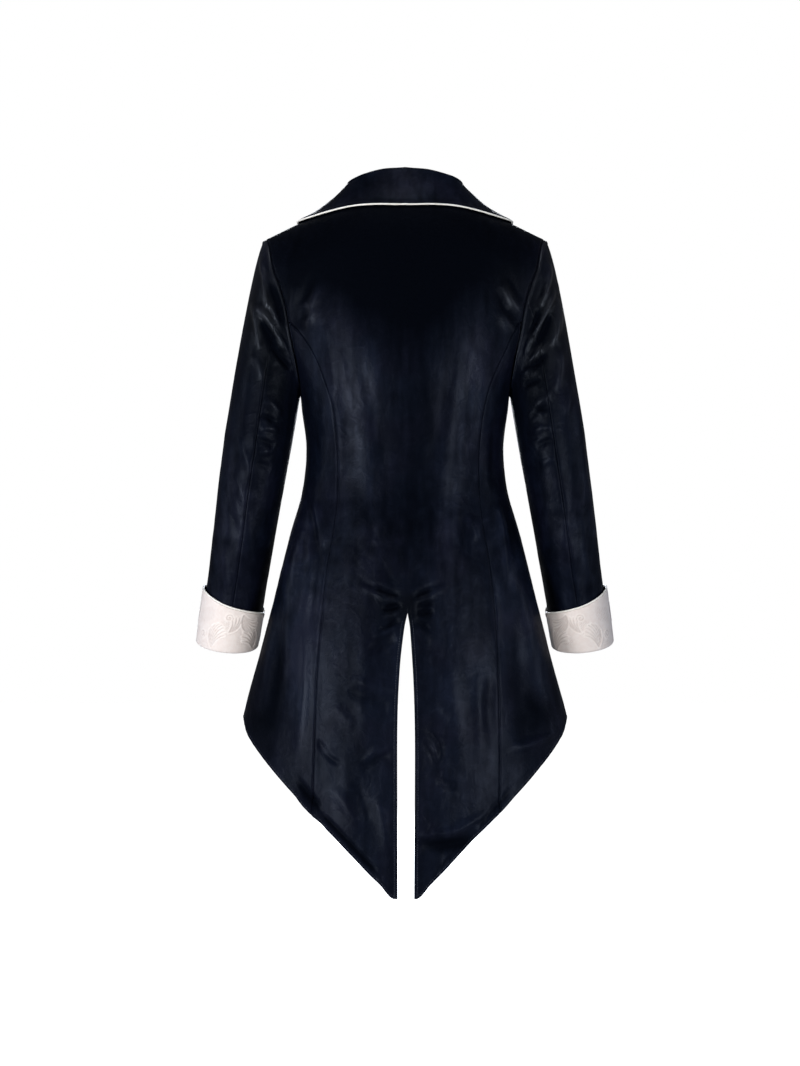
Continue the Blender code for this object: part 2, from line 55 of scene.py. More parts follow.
def smoothCurve(rows, column):
    # one column of a table as a curve over its first column, which never overshoots
    along = np.array([row[0] for row in rows], float)
    value = np.array([row[column] for row in rows], float)
    step = np.diff(along)
    slope = np.diff(value) / step
    tangent = np.concatenate([[slope[0]], (slope[:-1] + slope[1:]) / 2, [slope[-1]]])
    limit = np.where(slope[:-1] * slope[1:] > 0, 3 * np.minimum(abs(slope[:-1]), abs(slope[1:])), 0)
    tangent[1:-1] = np.clip(tangent[1:-1], -limit, limit)

    def curve(at):
        at = np.clip(at, along[0], along[-1])
        i = np.clip(np.searchsorted(along, at, side="right") - 1, 0, len(step) - 1)
        u = (at - along[i]) / step[i]
        rise = value[i + 1] - value[i]
        bend = step[i] * u * (1 - u) * (tangent[i] * (1 - u) - tangent[i + 1] * u)
        return value[i] + rise * u * u * (3 - 2 * u) + bend

    return curve


def unit(vectors):
    return vectors / np.maximum(np.linalg.norm(vectors, axis=-1, keepdims=True), 1e-9)


def ease(at):
    at = np.clip(at, 0, 1)
    return at * at * (3 - 2 * at)


def hump(at, middle, width):
    return np.exp(-(((at - middle) / width) ** 2))


latticeSize = 64
lattice = np.random.default_rng(11).uniform(-1, 1, (latticeSize,) * 3)


def softNoise(points, size, shift=0.0):
    # smooth random hills between -1 and 1, of the size given in each direction
    at = points / np.array(size) + shift
    low = np.floor(at).astype(int)
    part = at - low
    part = part * part * (3 - 2 * part)
    total = 0
    for corner in np.ndindex(2, 2, 2):
        weight = np.ones(at.shape[:-1])
        for k in range(3):
            weight = weight * (part[..., k] if corner[k] else 1 - part[..., k])
        i, j, k = (low[..., n] + corner[n] for n in range(3))
        total = total + weight * lattice[i % latticeSize, j % latticeSize, k % latticeSize]
    return total


# Layers of that noise: size across, depth and height, shift and strength
noiseLayers = {
    "strokes": (((7, 20, 45), 9.1, 0.26), ((3.2, 9, 20), 2.9, 0.14)),
    "blotches": (((13, 20, 13), 6.6, 1.0),),
    "crumples": (((20, 26, 11), 4.1, 0.8), ((9, 14, 6), 8.3, 0.25)),
    "swell": (((26, 40, 120), 0.0, 0.75), ((12, 20, 60), 7.3, 0.28)),
    "crushed": (((11, 18, 13), 3.1, 0.20), ((5, 9, 6), 5.7, 0.06)),
    "collar": (((24, 26, 16), 0.0, 0.7), ((9, 10, 8), 4.4, 0.22)),
    "cuff": (((16, 16, 18), 1.7, 0.55),),
    "cord": (((3.0, 3.0, 3.0), 0.0, 1.0),),
}


def layered(points, layers):
    return sum(softNoise(points, size, shift) * strength for size, shift, strength in noiseLayers[layers])


creaseGain = 1.6


def creases(table, across, height):
    # each crease runs from one place to another, bowed sideways, and fades out at both ends
    raised = np.zeros(np.broadcast(across, height).shape)
    for x1, z1, x2, z2, width, depth, bow in table:
        dx, dz = x2 - x1, z2 - z1
        length = math.hypot(dx, dz)
        px, pz = across - x1, height - z1
        part = (px * dx + pz * dz) / length**2
        middle = 2 * part - 1
        away = (px * dz - pz * dx) / length - bow * (1 - middle**2)
        fade = np.clip(1 - abs(middle) ** 3, 0, 1)
        raised += depth * fade * hump(away, 0, width)
    return raised * creaseGain


def edgeLine(points, edge):
    return {"first": points[:, 0], "last": points[:, -1], "foot": points[0], "top": points[-1]}[edge]


nearRows = 45  # on a side edge, only the part this many rows away is measured to


def edgeAway(points, edge):
    # distance of each grid point from one edge of its grid
    line = edgeLine(points, edge)
    starts, steps = line[:-1], np.diff(line, axis=0)
    squares = np.maximum((steps**2).sum(axis=-1), 1e-9)
    away = np.empty(points.shape[:2])
    for number, row in enumerate(points):
        near = slice(None)
        if edge in ("first", "last"):
            near = slice(max(0, number - nearRows), number + nearRows)
        offset = row[:, None] - starts[near]
        part = np.clip((offset * steps[near]).sum(axis=-1) / squares[near], 0, 1)
        beyond = offset - part[..., None] * steps[near]
        away[number] = np.sqrt((beyond**2).sum(axis=-1).min(axis=1))
    return away


def runAlong(line):
    return np.concatenate([[0], np.cumsum(np.linalg.norm(np.diff(line, axis=0), axis=-1))])


def runUp(points):
    # length up each column of a grid
    steps = np.linalg.norm(np.diff(points, axis=0), axis=-1)
    return np.concatenate([np.zeros((1, points.shape[1])), np.cumsum(steps, axis=0)])


def edgeLength(points, edge):
    # length along an edge, given at every grid point beside it
    run = runAlong(edgeLine(points, edge))
    return run[:, None] if edge in ("first", "last") else run[None, :]


def gridNormals(points, ring=False):
    padded = np.concatenate([points[:, -2:-1], points, points[:, 1:2]], axis=1) if ring else points
    normals = unit(np.cross(np.gradient(padded, axis=1), np.gradient(padded, axis=0)))
    return normals[:, 1:-1] if ring else normals


def spread(count, tight):
    # even steps from 0 to 1, with extra ones close to each end where the cloth is rolled over
    even = np.linspace(0, 1, count + 1)
    close = np.array(tight)
    clear = close[-1] * 1.3
    inside = even[(even > clear) & (even < 1 - clear)]
    return np.concatenate([[0], close, inside, 1 - close[::-1], [1]])


# Materials

groups = {}


def newGroup(name, inputs, outputs):
    group = bpy.data.node_groups.new(name, "ShaderNodeTree")
    for label, kind, value in inputs:
        socket = group.interface.new_socket(label, in_out="INPUT", socket_type=kind)
        if value is not None:
            socket.default_value = value
    for label, kind in outputs:
        group.interface.new_socket(label, in_out="OUTPUT", socket_type=kind)
    groups[name] = group
    return group, group.nodes.new("NodeGroupInput"), group.nodes.new("NodeGroupOutput")


def addNode(tree, kind, **settings):
    node = tree.nodes.new("ShaderNode" + kind)
    for name, value in settings.items():
        setattr(node, name, value)
    return node


def mathNode(tree, operation, first, second=None, third=None, clamp=False):
    node = addNode(tree, "Math", operation=operation, use_clamp=clamp)
    for socket, value in zip(node.inputs, (first, second, third)):
        if isinstance(value, (int, float)):
            socket.default_value = value
        elif value is not None:
            tree.links.new(value, socket)
    return node.outputs[0]


def noiseNode(tree, vector, scale, detail=2.0, roughness=0.5, distortion=0.0):
    node = addNode(tree, "TexNoise")
    node.inputs["Detail"].default_value = detail
    node.inputs["Roughness"].default_value = roughness
    node.inputs["Distortion"].default_value = distortion
    if isinstance(scale, (int, float)):
        node.inputs["Scale"].default_value = scale
    else:
        tree.links.new(scale, node.inputs["Scale"])
    tree.links.new(vector, node.inputs["Vector"])
    return node.outputs["Fac"]


def rangeNode(tree, value, low, high, newLow=0.0, newHigh=1.0):
    node = addNode(tree, "MapRange", interpolation_type="SMOOTHSTEP")
    for name, number in (("From Min", low), ("From Max", high), ("To Min", newLow), ("To Max", newHigh)):
        node.inputs[name].default_value = number
    tree.links.new(value, node.inputs["Value"])
    return node.outputs["Result"]


napLook = {
    "stretch": (1.0, 1.0, 0.22),  # strokes run down the cloth
    "broad": 26.0,
    "broadShare": 0.65,
    "narrow": 95.0,
    "leanRange": (0.36, 0.66),
    "crush": 60.0,
    "crushRange": (0.42, 0.68),
    "tufts": 1500.0,
}


def makeNapGroup():
    # how a cut pile leans: long soft strokes down the cloth, crushed patches, and the fine tufts
    look = napLook
    inputs = [
        ("Vector", "NodeSocketVector", None),
        ("Stroke Scale", "NodeSocketFloat", 1.0),
        ("Tuft Scale", "NodeSocketFloat", 1.0),
    ]
    outputs = [("Lean", "NodeSocketFloat"), ("Crush", "NodeSocketFloat"), ("Tufts", "NodeSocketFloat")]
    tree, put, out = newGroup("clothNap", inputs, outputs)

    def scaled(label, size):
        return mathNode(tree, "MULTIPLY", put.outputs[label], size)

    stretch = addNode(tree, "Mapping")
    stretch.inputs["Scale"].default_value = look["stretch"]
    tree.links.new(put.outputs["Vector"], stretch.inputs["Vector"])
    broad = noiseNode(tree, stretch.outputs[0], scaled("Stroke Scale", look["broad"]), 2.0, 0.5, 0.6)
    narrow = noiseNode(tree, stretch.outputs[0], scaled("Stroke Scale", look["narrow"]), 2.0, 0.6, 0.4)
    share = look["broadShare"]
    lean = mathNode(tree, "ADD", mathNode(tree, "MULTIPLY", broad, share),
                    mathNode(tree, "MULTIPLY", narrow, 1 - share))
    tree.links.new(rangeNode(tree, lean, *look["leanRange"]), out.inputs["Lean"])
    crushed = noiseNode(tree, put.outputs["Vector"], scaled("Stroke Scale", look["crush"]), 3.0, 0.55, 1.2)
    tree.links.new(rangeNode(tree, crushed, *look["crushRange"]), out.inputs["Crush"])
    tufts = noiseNode(tree, put.outputs["Vector"], scaled("Tuft Scale", look["tufts"]), 2.0, 0.6)
    tree.links.new(tufts, out.inputs["Tufts"])


def makeWeaveGroup():
    # fine crossed threads, with the height of warp over weft and a mask of slight colour change
    inputs = [
        ("Vector", "NodeSocketVector", None),
        ("Threads", "NodeSocketFloat", 1400.0),
        ("Unevenness", "NodeSocketFloat", 0.3),
    ]
    outputs = [("Height", "NodeSocketFloat"), ("Shade", "NodeSocketFloat")]
    tree, put, out = newGroup("crossedThreads", inputs, outputs)

    def threads(value):
        return mathNode(tree, "MULTIPLY", value, put.outputs["Threads"])

    split = addNode(tree, "SeparateXYZ")
    tree.links.new(put.outputs["Vector"], split.inputs[0])
    wobble = noiseNode(tree, put.outputs["Vector"], 220.0, 2.0, 0.5)
    drift = mathNode(tree, "MULTIPLY", mathNode(tree, "MULTIPLY", wobble, put.outputs["Unevenness"]), 6.0)
    aside = mathNode(tree, "ADD", split.outputs[0], split.outputs[1])
    warp = mathNode(tree, "SINE", mathNode(tree, "ADD", threads(aside), drift))
    weft = mathNode(tree, "SINE", threads(split.outputs[2]))
    over = mathNode(tree, "MULTIPLY", mathNode(tree, "MAXIMUM", warp, weft), 0.5)
    tree.links.new(mathNode(tree, "ADD", over, 0.5), out.inputs["Height"])
    tree.links.new(rangeNode(tree, wobble, 0.35, 0.65), out.inputs["Shade"])


def newMaterial(name, **settings):
    material = bpy.data.materials.new(name)
    material.use_nodes = True
    shader = material.node_tree.nodes["Principled BSDF"]
    for label, value in settings.items():
        shader.inputs[label].default_value = value
    return material, material.node_tree, shader


def placeGroup(tree, name, vector, **settings):
    node = addNode(tree, "Group", node_tree=groups[name])
    tree.links.new(vector, node.inputs["Vector"])
    for label, value in settings.items():
        node.inputs[label].default_value = value
    return node


def mixColours(tree, factor, first, second, blend="MIX"):
    node = addNode(tree, "Mix", data_type="RGBA", blend_type=blend)
    for socket, value in ((node.inputs[0], factor), (node.inputs[6], first), (node.inputs[7], second)):
        if isinstance(value, (tuple, float)):
            socket.default_value = (*value, 1) if isinstance(value, tuple) else value
        else:
            tree.links.new(value, socket)
    return node.outputs[2]


def bumpNode(tree, shader, height, strength, distance, after=None):
    node = addNode(tree, "Bump")
    node.inputs["Strength"].default_value = strength
    node.inputs["Distance"].default_value = distance
    tree.links.new(height, node.inputs["Height"])
    if after:
        tree.links.new(after, node.inputs["Normal"])
    tree.links.new(node.outputs["Normal"], shader.inputs["Normal"])
    return node.outputs["Normal"]


makeNapGroup()
makeWeaveGroup()

velvetLook = {
    # dark and light are the two ends of the nap mask, which carries painted shade and painted highlight as
    # well as the pile's tone
    "dark": (0.0008, 0.0012, 0.0023),
    "light": (0.0050, 0.0072, 0.0150),
    "lightWarm": (0.0060, 0.0069, 0.0146),
    "sheen": 0.002,
    "sheenTint": (0.40, 0.50, 0.85, 1),
    "sheenRoughness": 0.35,
    "smooth": 0.33,
    "rough": 0.52,
    "shine": 0.02,
    "tips": 0.17,
    "tipsRough": 0.34,
    "leanShare": 0.7,
    "napShare": 0.55,
    "unevenShare": 0.855,
    "hueSize": 14.0,
    "hueRange": (0.42, 0.60),
    "crushBump": (0.14, 0.0012),
    "tuftBump": (0.6, 0.00025),
}


def makeVelvet():
    look = velvetLook
    material, tree, shader = newMaterial(
        "darkVelvet",
        **{
            "Specular IOR Level": look["shine"],
            "Specular Tint": (0.62, 0.72, 1.0, 1),
            "Sheen Weight": look["sheen"],
            "Sheen Tint": look["sheenTint"],
            "Sheen Roughness": look["sheenRoughness"],
            "Coat Roughness": look["tipsRough"],
        },
    )
    place = addNode(tree, "TexCoord").outputs["Object"]
    nap = placeGroup(tree, "clothNap", place)
    uneven = mathNode(tree, "ADD", mathNode(tree, "MULTIPLY", nap.outputs["Lean"], look["leanShare"]),
                      mathNode(tree, "MULTIPLY", nap.outputs["Crush"], 1 - look["leanShare"]))
    # the nap attribute holds the pile's tone with painted shade in troughs, under curls and under the
    # collar, and painted highlight on ridges
    napAndShadeChart = addNode(tree, "Attribute", attribute_name="nap").outputs["Fac"]
    patchy = mathNode(tree, "MULTIPLY", mathNode(tree, "MULTIPLY", uneven, napAndShadeChart), look["unevenShare"])
    even = mathNode(tree, "MULTIPLY", napAndShadeChart, look["napShare"])
    shade = mathNode(tree, "ADD", even, patchy, clamp=True)
    hue = rangeNode(tree, noiseNode(tree, place, look["hueSize"], 1.0), *look["hueRange"])
    light = mixColours(tree, hue, look["light"], look["lightWarm"])
    tree.links.new(mixColours(tree, shade, look["dark"], light), shader.inputs["Base Color"])
    rough = addNode(tree, "MapRange")
    rough.inputs["To Min"].default_value = look["rough"]
    rough.inputs["To Max"].default_value = look["smooth"]
    tree.links.new(shade, rough.inputs["Value"])
    tree.links.new(rough.outputs["Result"], shader.inputs["Roughness"])
    polish = addNode(tree, "Attribute", attribute_name="polish").outputs["Fac"]
    tips = mathNode(tree, "MULTIPLY", mathNode(tree, "ADD", shade, polish), look["tips"])
    tree.links.new(tips, shader.inputs["Coat Weight"])
    leaning = bumpNode(tree, shader, nap.outputs["Crush"], *look["crushBump"])
    tufted = bumpNode(tree, shader, nap.outputs["Tufts"], *look["tuftBump"], after=leaning)
    tree.links.new(tufted, shader.inputs["Coat Normal"])
    return material


reverseLook = {"dark": (0.006, 0.0075, 0.014), "light": (0.011, 0.013, 0.023), "threads": 2600.0}


def makeReverse():
    # the wrong side of the velvet: a plain dull ground cloth
    look = reverseLook
    material, tree, shader = newMaterial(
        "velvetGround",
        **{
            "Roughness": 0.85,
            "Specular IOR Level": 0.12,
            "Sheen Weight": 0.08,
            "Sheen Tint": (0.5, 0.55, 0.8, 1),
        },
    )
    place = addNode(tree, "TexCoord").outputs["Object"]
    threads = placeGroup(tree, "crossedThreads", place, Threads=look["threads"])
    colour = mixColours(tree, threads.outputs["Shade"], look["dark"], look["light"])
    tree.links.new(colour, shader.inputs["Base Color"])
    bumpNode(tree, shader, threads.outputs["Height"], 0.4, 0.0003)
    return material


cuffLook = {
    "ground": (0.70, 0.64, 0.61),
    "figure": (0.78, 0.725, 0.69),
    # sunk is painted shade darkening the sunk lines and dots between the ribs
    "sunk": (0.46, 0.405, 0.38),
    "groundRough": 0.62,
    "figureRough": 0.34,
    "threads": 5200.0,
    "threadTones": ((0.62, 0.50, 0.46), (0.80, 0.80, 0.80)),
    "threadShare": 0.12,
}


def makeJacquard():
    look = cuffLook
    material, tree, shader = newMaterial(
        "paleJacquard",
        **{"Specular IOR Level": 0.4, "Sheen Weight": 0.15, "Sheen Roughness": 0.4},
    )
    place = addNode(tree, "TexCoord").outputs["Object"]
    threads = placeGroup(tree, "crossedThreads", place, Threads=look["threads"])
    figure = addNode(tree, "Attribute", attribute_name="figure").outputs["Fac"]
    sunk = addNode(tree, "Attribute", attribute_name="sunk").outputs["Fac"]
    woven = mixColours(tree, figure, look["ground"], look["figure"])
    # painted shade in the sunk lines and dots
    woven = mixColours(tree, sunk, woven, look["sunk"])
    thread = mixColours(tree, threads.outputs["Shade"], *look["threadTones"])
    toned = mixColours(tree, look["threadShare"], woven, thread)
    tree.links.new(toned, shader.inputs["Base Color"])
    rough = addNode(tree, "MapRange")
    rough.inputs["To Min"].default_value = look["groundRough"]
    rough.inputs["To Max"].default_value = look["figureRough"]
    tree.links.new(figure, rough.inputs["Value"])
    tree.links.new(rough.outputs["Result"], shader.inputs["Roughness"])
    bumpNode(tree, shader, threads.outputs["Height"], 0.25, 0.0002)
    return material


def makeSatin(name, colour, dark, threads=4200.0):
    material, tree, shader = newMaterial(
        name, **{"Roughness": 0.38, "Specular IOR Level": 0.45, "Sheen Weight": 0.1},
    )
    place = addNode(tree, "TexCoord").outputs["Object"]
    weave = placeGroup(tree, "crossedThreads", place, Threads=threads)
    tree.links.new(mixColours(tree, weave.outputs["Shade"], dark, colour), shader.inputs["Base Color"])
    bumpNode(tree, shader, weave.outputs["Height"], 0.3, 0.0002)
    return material


velvet = makeVelvet()
reverse = makeReverse()
jacquard = makeJacquard()
pipingSatin = makeSatin("pipingSatin", (0.86, 0.85, 0.81), (0.78, 0.77, 0.72))
darkThread = makeSatin("darkThread", (0.010, 0.012, 0.024), (0.006, 0.008, 0.016), 9000.0)
print("materials made")


# Meshes

def closedWall(grids):
    # welds the grids' outer points, adds the inner ones, and closes the rims
    outer = np.concatenate([outside.reshape(-1, 3) for outside, inside in grids])
    inner = np.concatenate([inside.reshape(-1, 3) for outside, inside in grids])
    _, first, number = np.unique(np.round(outer, 3) + 0.0, axis=0, return_index=True, return_inverse=True)
    number = number.reshape(-1)
    quads, start = [], 0
    for outside, inside in grids:
        rows, columns = outside.shape[:2]
        key = number[start : start + rows * columns].reshape(rows, columns)
        start += rows * columns
        corners = [key[:-1, :-1], key[:-1, 1:], key[1:, 1:], key[1:, :-1]]
        quads.append(np.stack([corner.reshape(-1) for corner in corners], axis=1))
    quads = np.concatenate(quads)
    count = len(first)
    same = quads == np.roll(quads, 1, axis=1)
    pinched = same.any(axis=1)
    faces = quads[~pinched].tolist()
    for face, repeats in zip(quads[pinched].tolist(), same[pinched]):
        face = [corner for corner, repeat in zip(face, repeats) if not repeat]
        if len(face) > 2:
            faces.append(face)
    pairs = np.array([(a, b) for face in faces for a, b in zip(face, face[1:] + face[:1])])
    code = pairs[:, 0] * count + pairs[:, 1]
    back = pairs[:, 1] * count + pairs[:, 0]
    rims = pairs[~np.isin(back, code)]
    insideFaces = [[corner + count for corner in reversed(face)] for face in faces]
    rimFaces = [[b, a, a + count, b + count] for a, b in rims.tolist()]
    return np.concatenate([outer[first], inner[first]]), faces, insideFaces, rimFaces, first


def addMesh(name, points, faces, materials, kinds=None):
    mesh = bpy.data.meshes.new(name)
    mesh.from_pydata((points * mm).tolist(), [], faces)
    for material in materials:
        mesh.materials.append(material)
    if kinds is not None:
        mesh.polygons.foreach_set("material_index", np.array(kinds, dtype=np.int32))
    mesh.polygons.foreach_set("use_smooth", np.ones(len(faces), dtype=bool))
    mesh.update()
    piece = bpy.data.objects.new(name, mesh)
    bpy.context.scene.collection.objects.link(piece)
    return piece


def volumeSign(points, faces):
    corners = np.array([face[:3] for face in faces])
    a, b, c = points[corners[:, 0]], points[corners[:, 1]], points[corners[:, 2]]
    return np.sign((a * np.cross(b, c)).sum())


def addCloth(name, grids, insideMaterial=None, outsideMaterial=None, masks=None):
    points, outside, inside, rims, first = closedWall(grids)
    faces = outside + inside + rims
    kinds = [0] * len(outside) + [1] * len(inside) + [0] * len(rims)
    if volumeSign(points, faces) < 0:
        faces = [face[::-1] for face in faces]
    piece = addMesh(name, points, faces, [outsideMaterial or velvet, insideMaterial or reverse], kinds)
    for label, values in (masks or {}).items():
        values = np.concatenate([np.asarray(part).reshape(-1) for part in values])[first]
        values = np.concatenate([values, values]).astype(np.float32)
        piece.data.attributes.new(label, "FLOAT", "POINT").data.foreach_set("value", values)
    corners = points[np.array([face for face in outside if len(face) == 4])]
    crossed = np.cross(corners[:, 2] - corners[:, 0], corners[:, 3] - corners[:, 1])
    area = np.linalg.norm(crossed, axis=1).sum() / 2 * mm**2
    print(f"{name}: {len(faces)} faces, {area:.4f} m2 of cloth")
    return piece


def finishPiece(piece, node, cut=None):
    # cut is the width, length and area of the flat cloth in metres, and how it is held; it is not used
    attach(piece, "root")
    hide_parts(node)
    if cut:
        width, length, area, held = cut


# What each panel is cut from: width, length, area, and how it is held
flatCuts = {
    "back": (0.47, 0.99, 0.247, "hung"),
    "side_back": (0.21, 0.71, 0.064, "hung"),
    "front": (0.41, 0.75, 0.111, "hung"),
    "top_sleeve": (0.25, 0.585, 0.085, "hung"),
    "under_sleeve": (0.22, 0.52, 0.063, "hung"),
    "collar": (1.08, 0.13, 0.094, "folded"),
    "cuff": (0.30, 0.09, 0.021, "folded"),
}


def addTube(name, path, radius, material, closed=False, sides=14, ripple=0.0):
    # a round cord along a path, with its ends rounded off
    path = np.asarray(path)
    if closed:
        ahead, behind = np.roll(path, -1, axis=0), np.roll(path, 1, axis=0)
    else:
        ahead = np.concatenate([path[1:], path[-1:] * 2 - path[-2:-1]])
        behind = np.concatenate([path[:1] * 2 - path[1:2], path[:-1]])
    along = unit(ahead - behind)
    up = unit(np.cross(along, np.array([0.0, 1.0, 0.0]) + along * 0.01))
    aside = np.cross(along, up)
    size = np.full(len(path), radius)
    if ripple:
        size = size * (1 + ripple * layered(path, "cord"))
    if not closed:
        run = runAlong(path)
        end = np.minimum(run, run[-1] - run) / radius
        size = size * np.sqrt(np.clip(1 - np.clip(1 - end, 0, 1) ** 2, 0.0025, 1))
    angle = np.linspace(0, 2 * math.pi, sides, endpoint=False)
    ring = up[:, None] * np.cos(angle)[None, :, None] + aside[:, None] * np.sin(angle)[None, :, None]
    points = (path[:, None] + ring * size[:, None, None]).reshape(-1, 3)
    faces = []
    for i in range(len(path) if closed else len(path) - 1):
        low, high = i * sides, (i + 1) % len(path) * sides
        for j in range(sides):
            k = (j + 1) % sides
            faces.append([low + j, low + k, high + k, high + j])
    if not closed:
        faces.append(list(range(sides))[::-1])
        faces.append([(len(path) - 1) * sides + j for j in range(sides)])
    if volumeSign(points, faces) < 0:
        faces = [face[::-1] for face in faces]
    return addMesh(name, points, faces, [material])


# Body of the coat: one rounded section at each height, cut into back, side backs and fronts

bodyCut = {
    # height, half width at the side seam, depth to the back, depth to the front, squareness
    "sections": (
        (-1000, 262, 121, 112, 2.1),
        (-900, 251, 120, 112, 2.1),
        (-724, 228, 117, 112, 2.15),
        (-629, 203.5, 113, 110, 2.2),
        (-572, 189, 109, 108, 2.2),
        (-516, 175, 103, 106, 2.2),
        (-459, 159.5, 93, 102, 2.2),
        (-403, 144, 85, 99, 2.2),
        (-346, 138.5, 86, 104, 2.2),
        (-290, 145, 96, 122, 2.25),
        (-265, 148, 100, 128, 2.3),
        (-225, 163, 102, 130, 2.3),
        (-185, 177, 101, 124, 2.3),
        (-144, 186, 97, 112, 2.3),
        (-100, 197, 90, 98, 2.3),
        (-60, 208, 84, 88, 2.3),
        (0, 214, 82, 84, 2.3),
    ),
    "shoulderRidge": ((0, 17), (40, 14), (75, 6), (147, -26), (199, -51), (240, -75)),
    "shoulderRoll": 75.0,
    "shoulderFade": 200.0,
    "underarm": -265.0,
    "armhole": ((0, 0), (20, 11), (40, 20), (60, 26), (90, 29), (120, 29.5), (150, 28), (180, 24)),
    "backSeam": (
        (-960, 128, 129),
        (-830, 127, 129),
        (-769, 125, 129.5),
        (-647, 120.5, 127.5),
        (-576, 114.5, 125),
        (-503, 106.5, 117),
        (-463, 99.5, 109.5),
        (-415, 94, 104),
        (-363, 93.5, 102.5),
        (-306, 97.5, 107),
        (-284, 101, 111),
        (-257, 110, 119),
        (-215, 127.5, 138),
        (-186, 146, 151),
        (-167, 162, 162),
    ),
    "seamTurn": 75,
    "sideFoot": -724.0,
    "tailHem": (
        (0, -961.5),
        (15, -961.5),
        (35, -942),
        (98, -877),
        (140, -836),
        (181, -793),
        (215, -752),
        (222, -741),
    ),
    "cutaway": ((0, -430), (8, -437), (22, -455), (50, -490), (90, -540), (140, -605), (190, -672)),
    "slitTop": -569.0,
    # height, middle, half width
    "slit": (
        (-966, -0.9, 11.3),
        (-760, -1.2, 12),
        (-700, -1.2, 11.2),
        (-665, -1.4, 9.8),
        (-637, -1.6, 8),
        (-610, -2.2, 5.6),
        (-590, -2.8, 3.4),
        (-569, -3.2, 0),
        (-300, 0, 0),
    ),
    "neckSide": 75.0,
    "backNeck": -12.0,
    "neckShare": 0.625,  # how much of the back's top is neckline, then shoulder seam
    "tipDraw": 3.0,
    "frontEdge": (
        (-1000, 0.3),
        (-296, 0.3),
        (-250, 14),
        (-200, 28),
        (-150, 41),
        (-100, 53),
        (-50, 64),
        (0, 75),
    ),
    "wall": 2.0,
    "seamGap": -0.12,
    "lowerFoot": -961.0,
    "lowerTop": -400.0,
}

bodySide, bodyBack, bodyFront, bodySquare = (smoothCurve(bodyCut["sections"], n) for n in (1, 2, 3, 4))
ridgeRise = smoothCurve(bodyCut["shoulderRidge"], 1)
armholeRound = smoothCurve(bodyCut["armhole"], 1)
slitMiddle, slitHalf = smoothCurve(bodyCut["slit"], 1), smoothCurve(bodyCut["slit"], 2)
seamAcross = {1: smoothCurve(bodyCut["backSeam"], 1), -1: smoothCurve(bodyCut["backSeam"], 2)}
frontAcross = smoothCurve(bodyCut["frontEdge"], 1)
sideCorner = (float(bodySide(bodyCut["sideFoot"])), bodyCut["sideFoot"])
tailHem = smoothCurve(bodyCut["tailHem"] + (sideCorner,), 1)
cutawayHem = smoothCurve(bodyCut["cutaway"] + (sideCorner,), 1)
underarm = bodyCut["underarm"]


def bodyBase(theta, height):
    side, square = bodySide(height), bodySquare(height)
    c, s = np.cos(theta), np.sin(theta)
    across = side * np.sign(c) * abs(c) ** (2 / square)
    depth = np.where(s >= 0, bodyBack(height), bodyFront(height))
    rolled = np.clip(-height / bodyCut["shoulderRoll"], 0, 1)
    back = depth * np.sqrt(1 - (1 - rolled) ** 2) * np.sign(s) * abs(s) ** (2 / square)
    fade = bodyCut["shoulderFade"]
    up = height + ease((height + fade) / fade) * ridgeRise(abs(across))
    return np.stack(np.broadcast_arrays(across, back, up), axis=-1)


def bodyNormal(theta, height):
    high, low = np.minimum(height + 0.05, 0), np.minimum(height + 0.05, 0) - 0.1
    around = bodyBase(theta + 1e-3, height) - bodyBase(theta - 1e-3, height)
    return unit(np.cross(around, bodyBase(theta, high) - bodyBase(theta, low)))


def thetaAt(across, height):
    part = across / bodySide(height)
    return np.arccos(np.clip(np.sign(part) * abs(part) ** (bodySquare(height) / 2), -1, 1))


def turnHeight(turn):
    return underarm * (1 + np.cos(np.radians(turn))) / 2


def turnTheta(turn):
    return np.radians(armholeRound(turn))


def seamTheta(side):
    def theta(height, turn):
        placed = thetaAt(seamAcross[side](height), height)
        return np.where(turn < bodyCut["seamTurn"], placed, turnTheta(turn))
    return theta


def middleTheta(side):
    def theta(height, turn):
        return thetaAt(side * slitMiddle(height) + slitHalf(height), height)
    return theta


def sideTheta(height, turn):
    return np.where(turn < 0, 0.0, turnTheta(turn))


def frontSideTheta(height, turn):
    return -sideTheta(height, turn)


def frontEdgeTheta(height, turn):
    return -thetaAt(frontAcross(height), height)


gridSteps = {"tail": 104, "skirt": 48, "waist": 40, "armhole": 84, "back": 56, "sideBack": 36, "front": 54}
hemRows = [0.0008, 0.002, 0.004, 0.007, 0.011]


def panelRows():
    # rows from the hem to the waist as parts of that height, then heights, then turns of the armhole
    split = (bodyCut["slitTop"] - bodyCut["lowerFoot"]) / (bodyCut["lowerTop"] - bodyCut["lowerFoot"])
    lower = np.linspace(0, split, gridSteps["tail"] + 1)
    lower = np.concatenate([[0], hemRows, lower[lower > hemRows[-1] * 1.2]])
    lower = np.concatenate([lower, np.linspace(split, 1, gridSteps["skirt"] + 1)[1:]])
    waist = np.linspace(bodyCut["lowerTop"], underarm, gridSteps["waist"] + 1)[1:]
    turns = np.linspace(0, 180, gridSteps["armhole"] + 1)[1:]
    return lower, waist, turns


lowerParts, waistHeights, armholeTurns = panelRows()
armholeRow = len(lowerParts) + len(waistHeights) - 1
rowTurns = np.concatenate([np.full(armholeRow, -1.0), [0.0], armholeTurns])


def footHeights(thetaOf, hem, columns):
    low, high = np.full(columns, -1000.0), np.full(columns, bodyCut["lowerTop"])
    for _ in range(50):
        middle = (low + high) / 2
        across = bodyBase(thetaOf(middle, np.full(columns, -1.0)), middle)[..., 0]
        above = middle > hem(abs(across))
        low, high = np.where(above, low, middle), np.where(above, middle, high)
    return (low + high) / 2


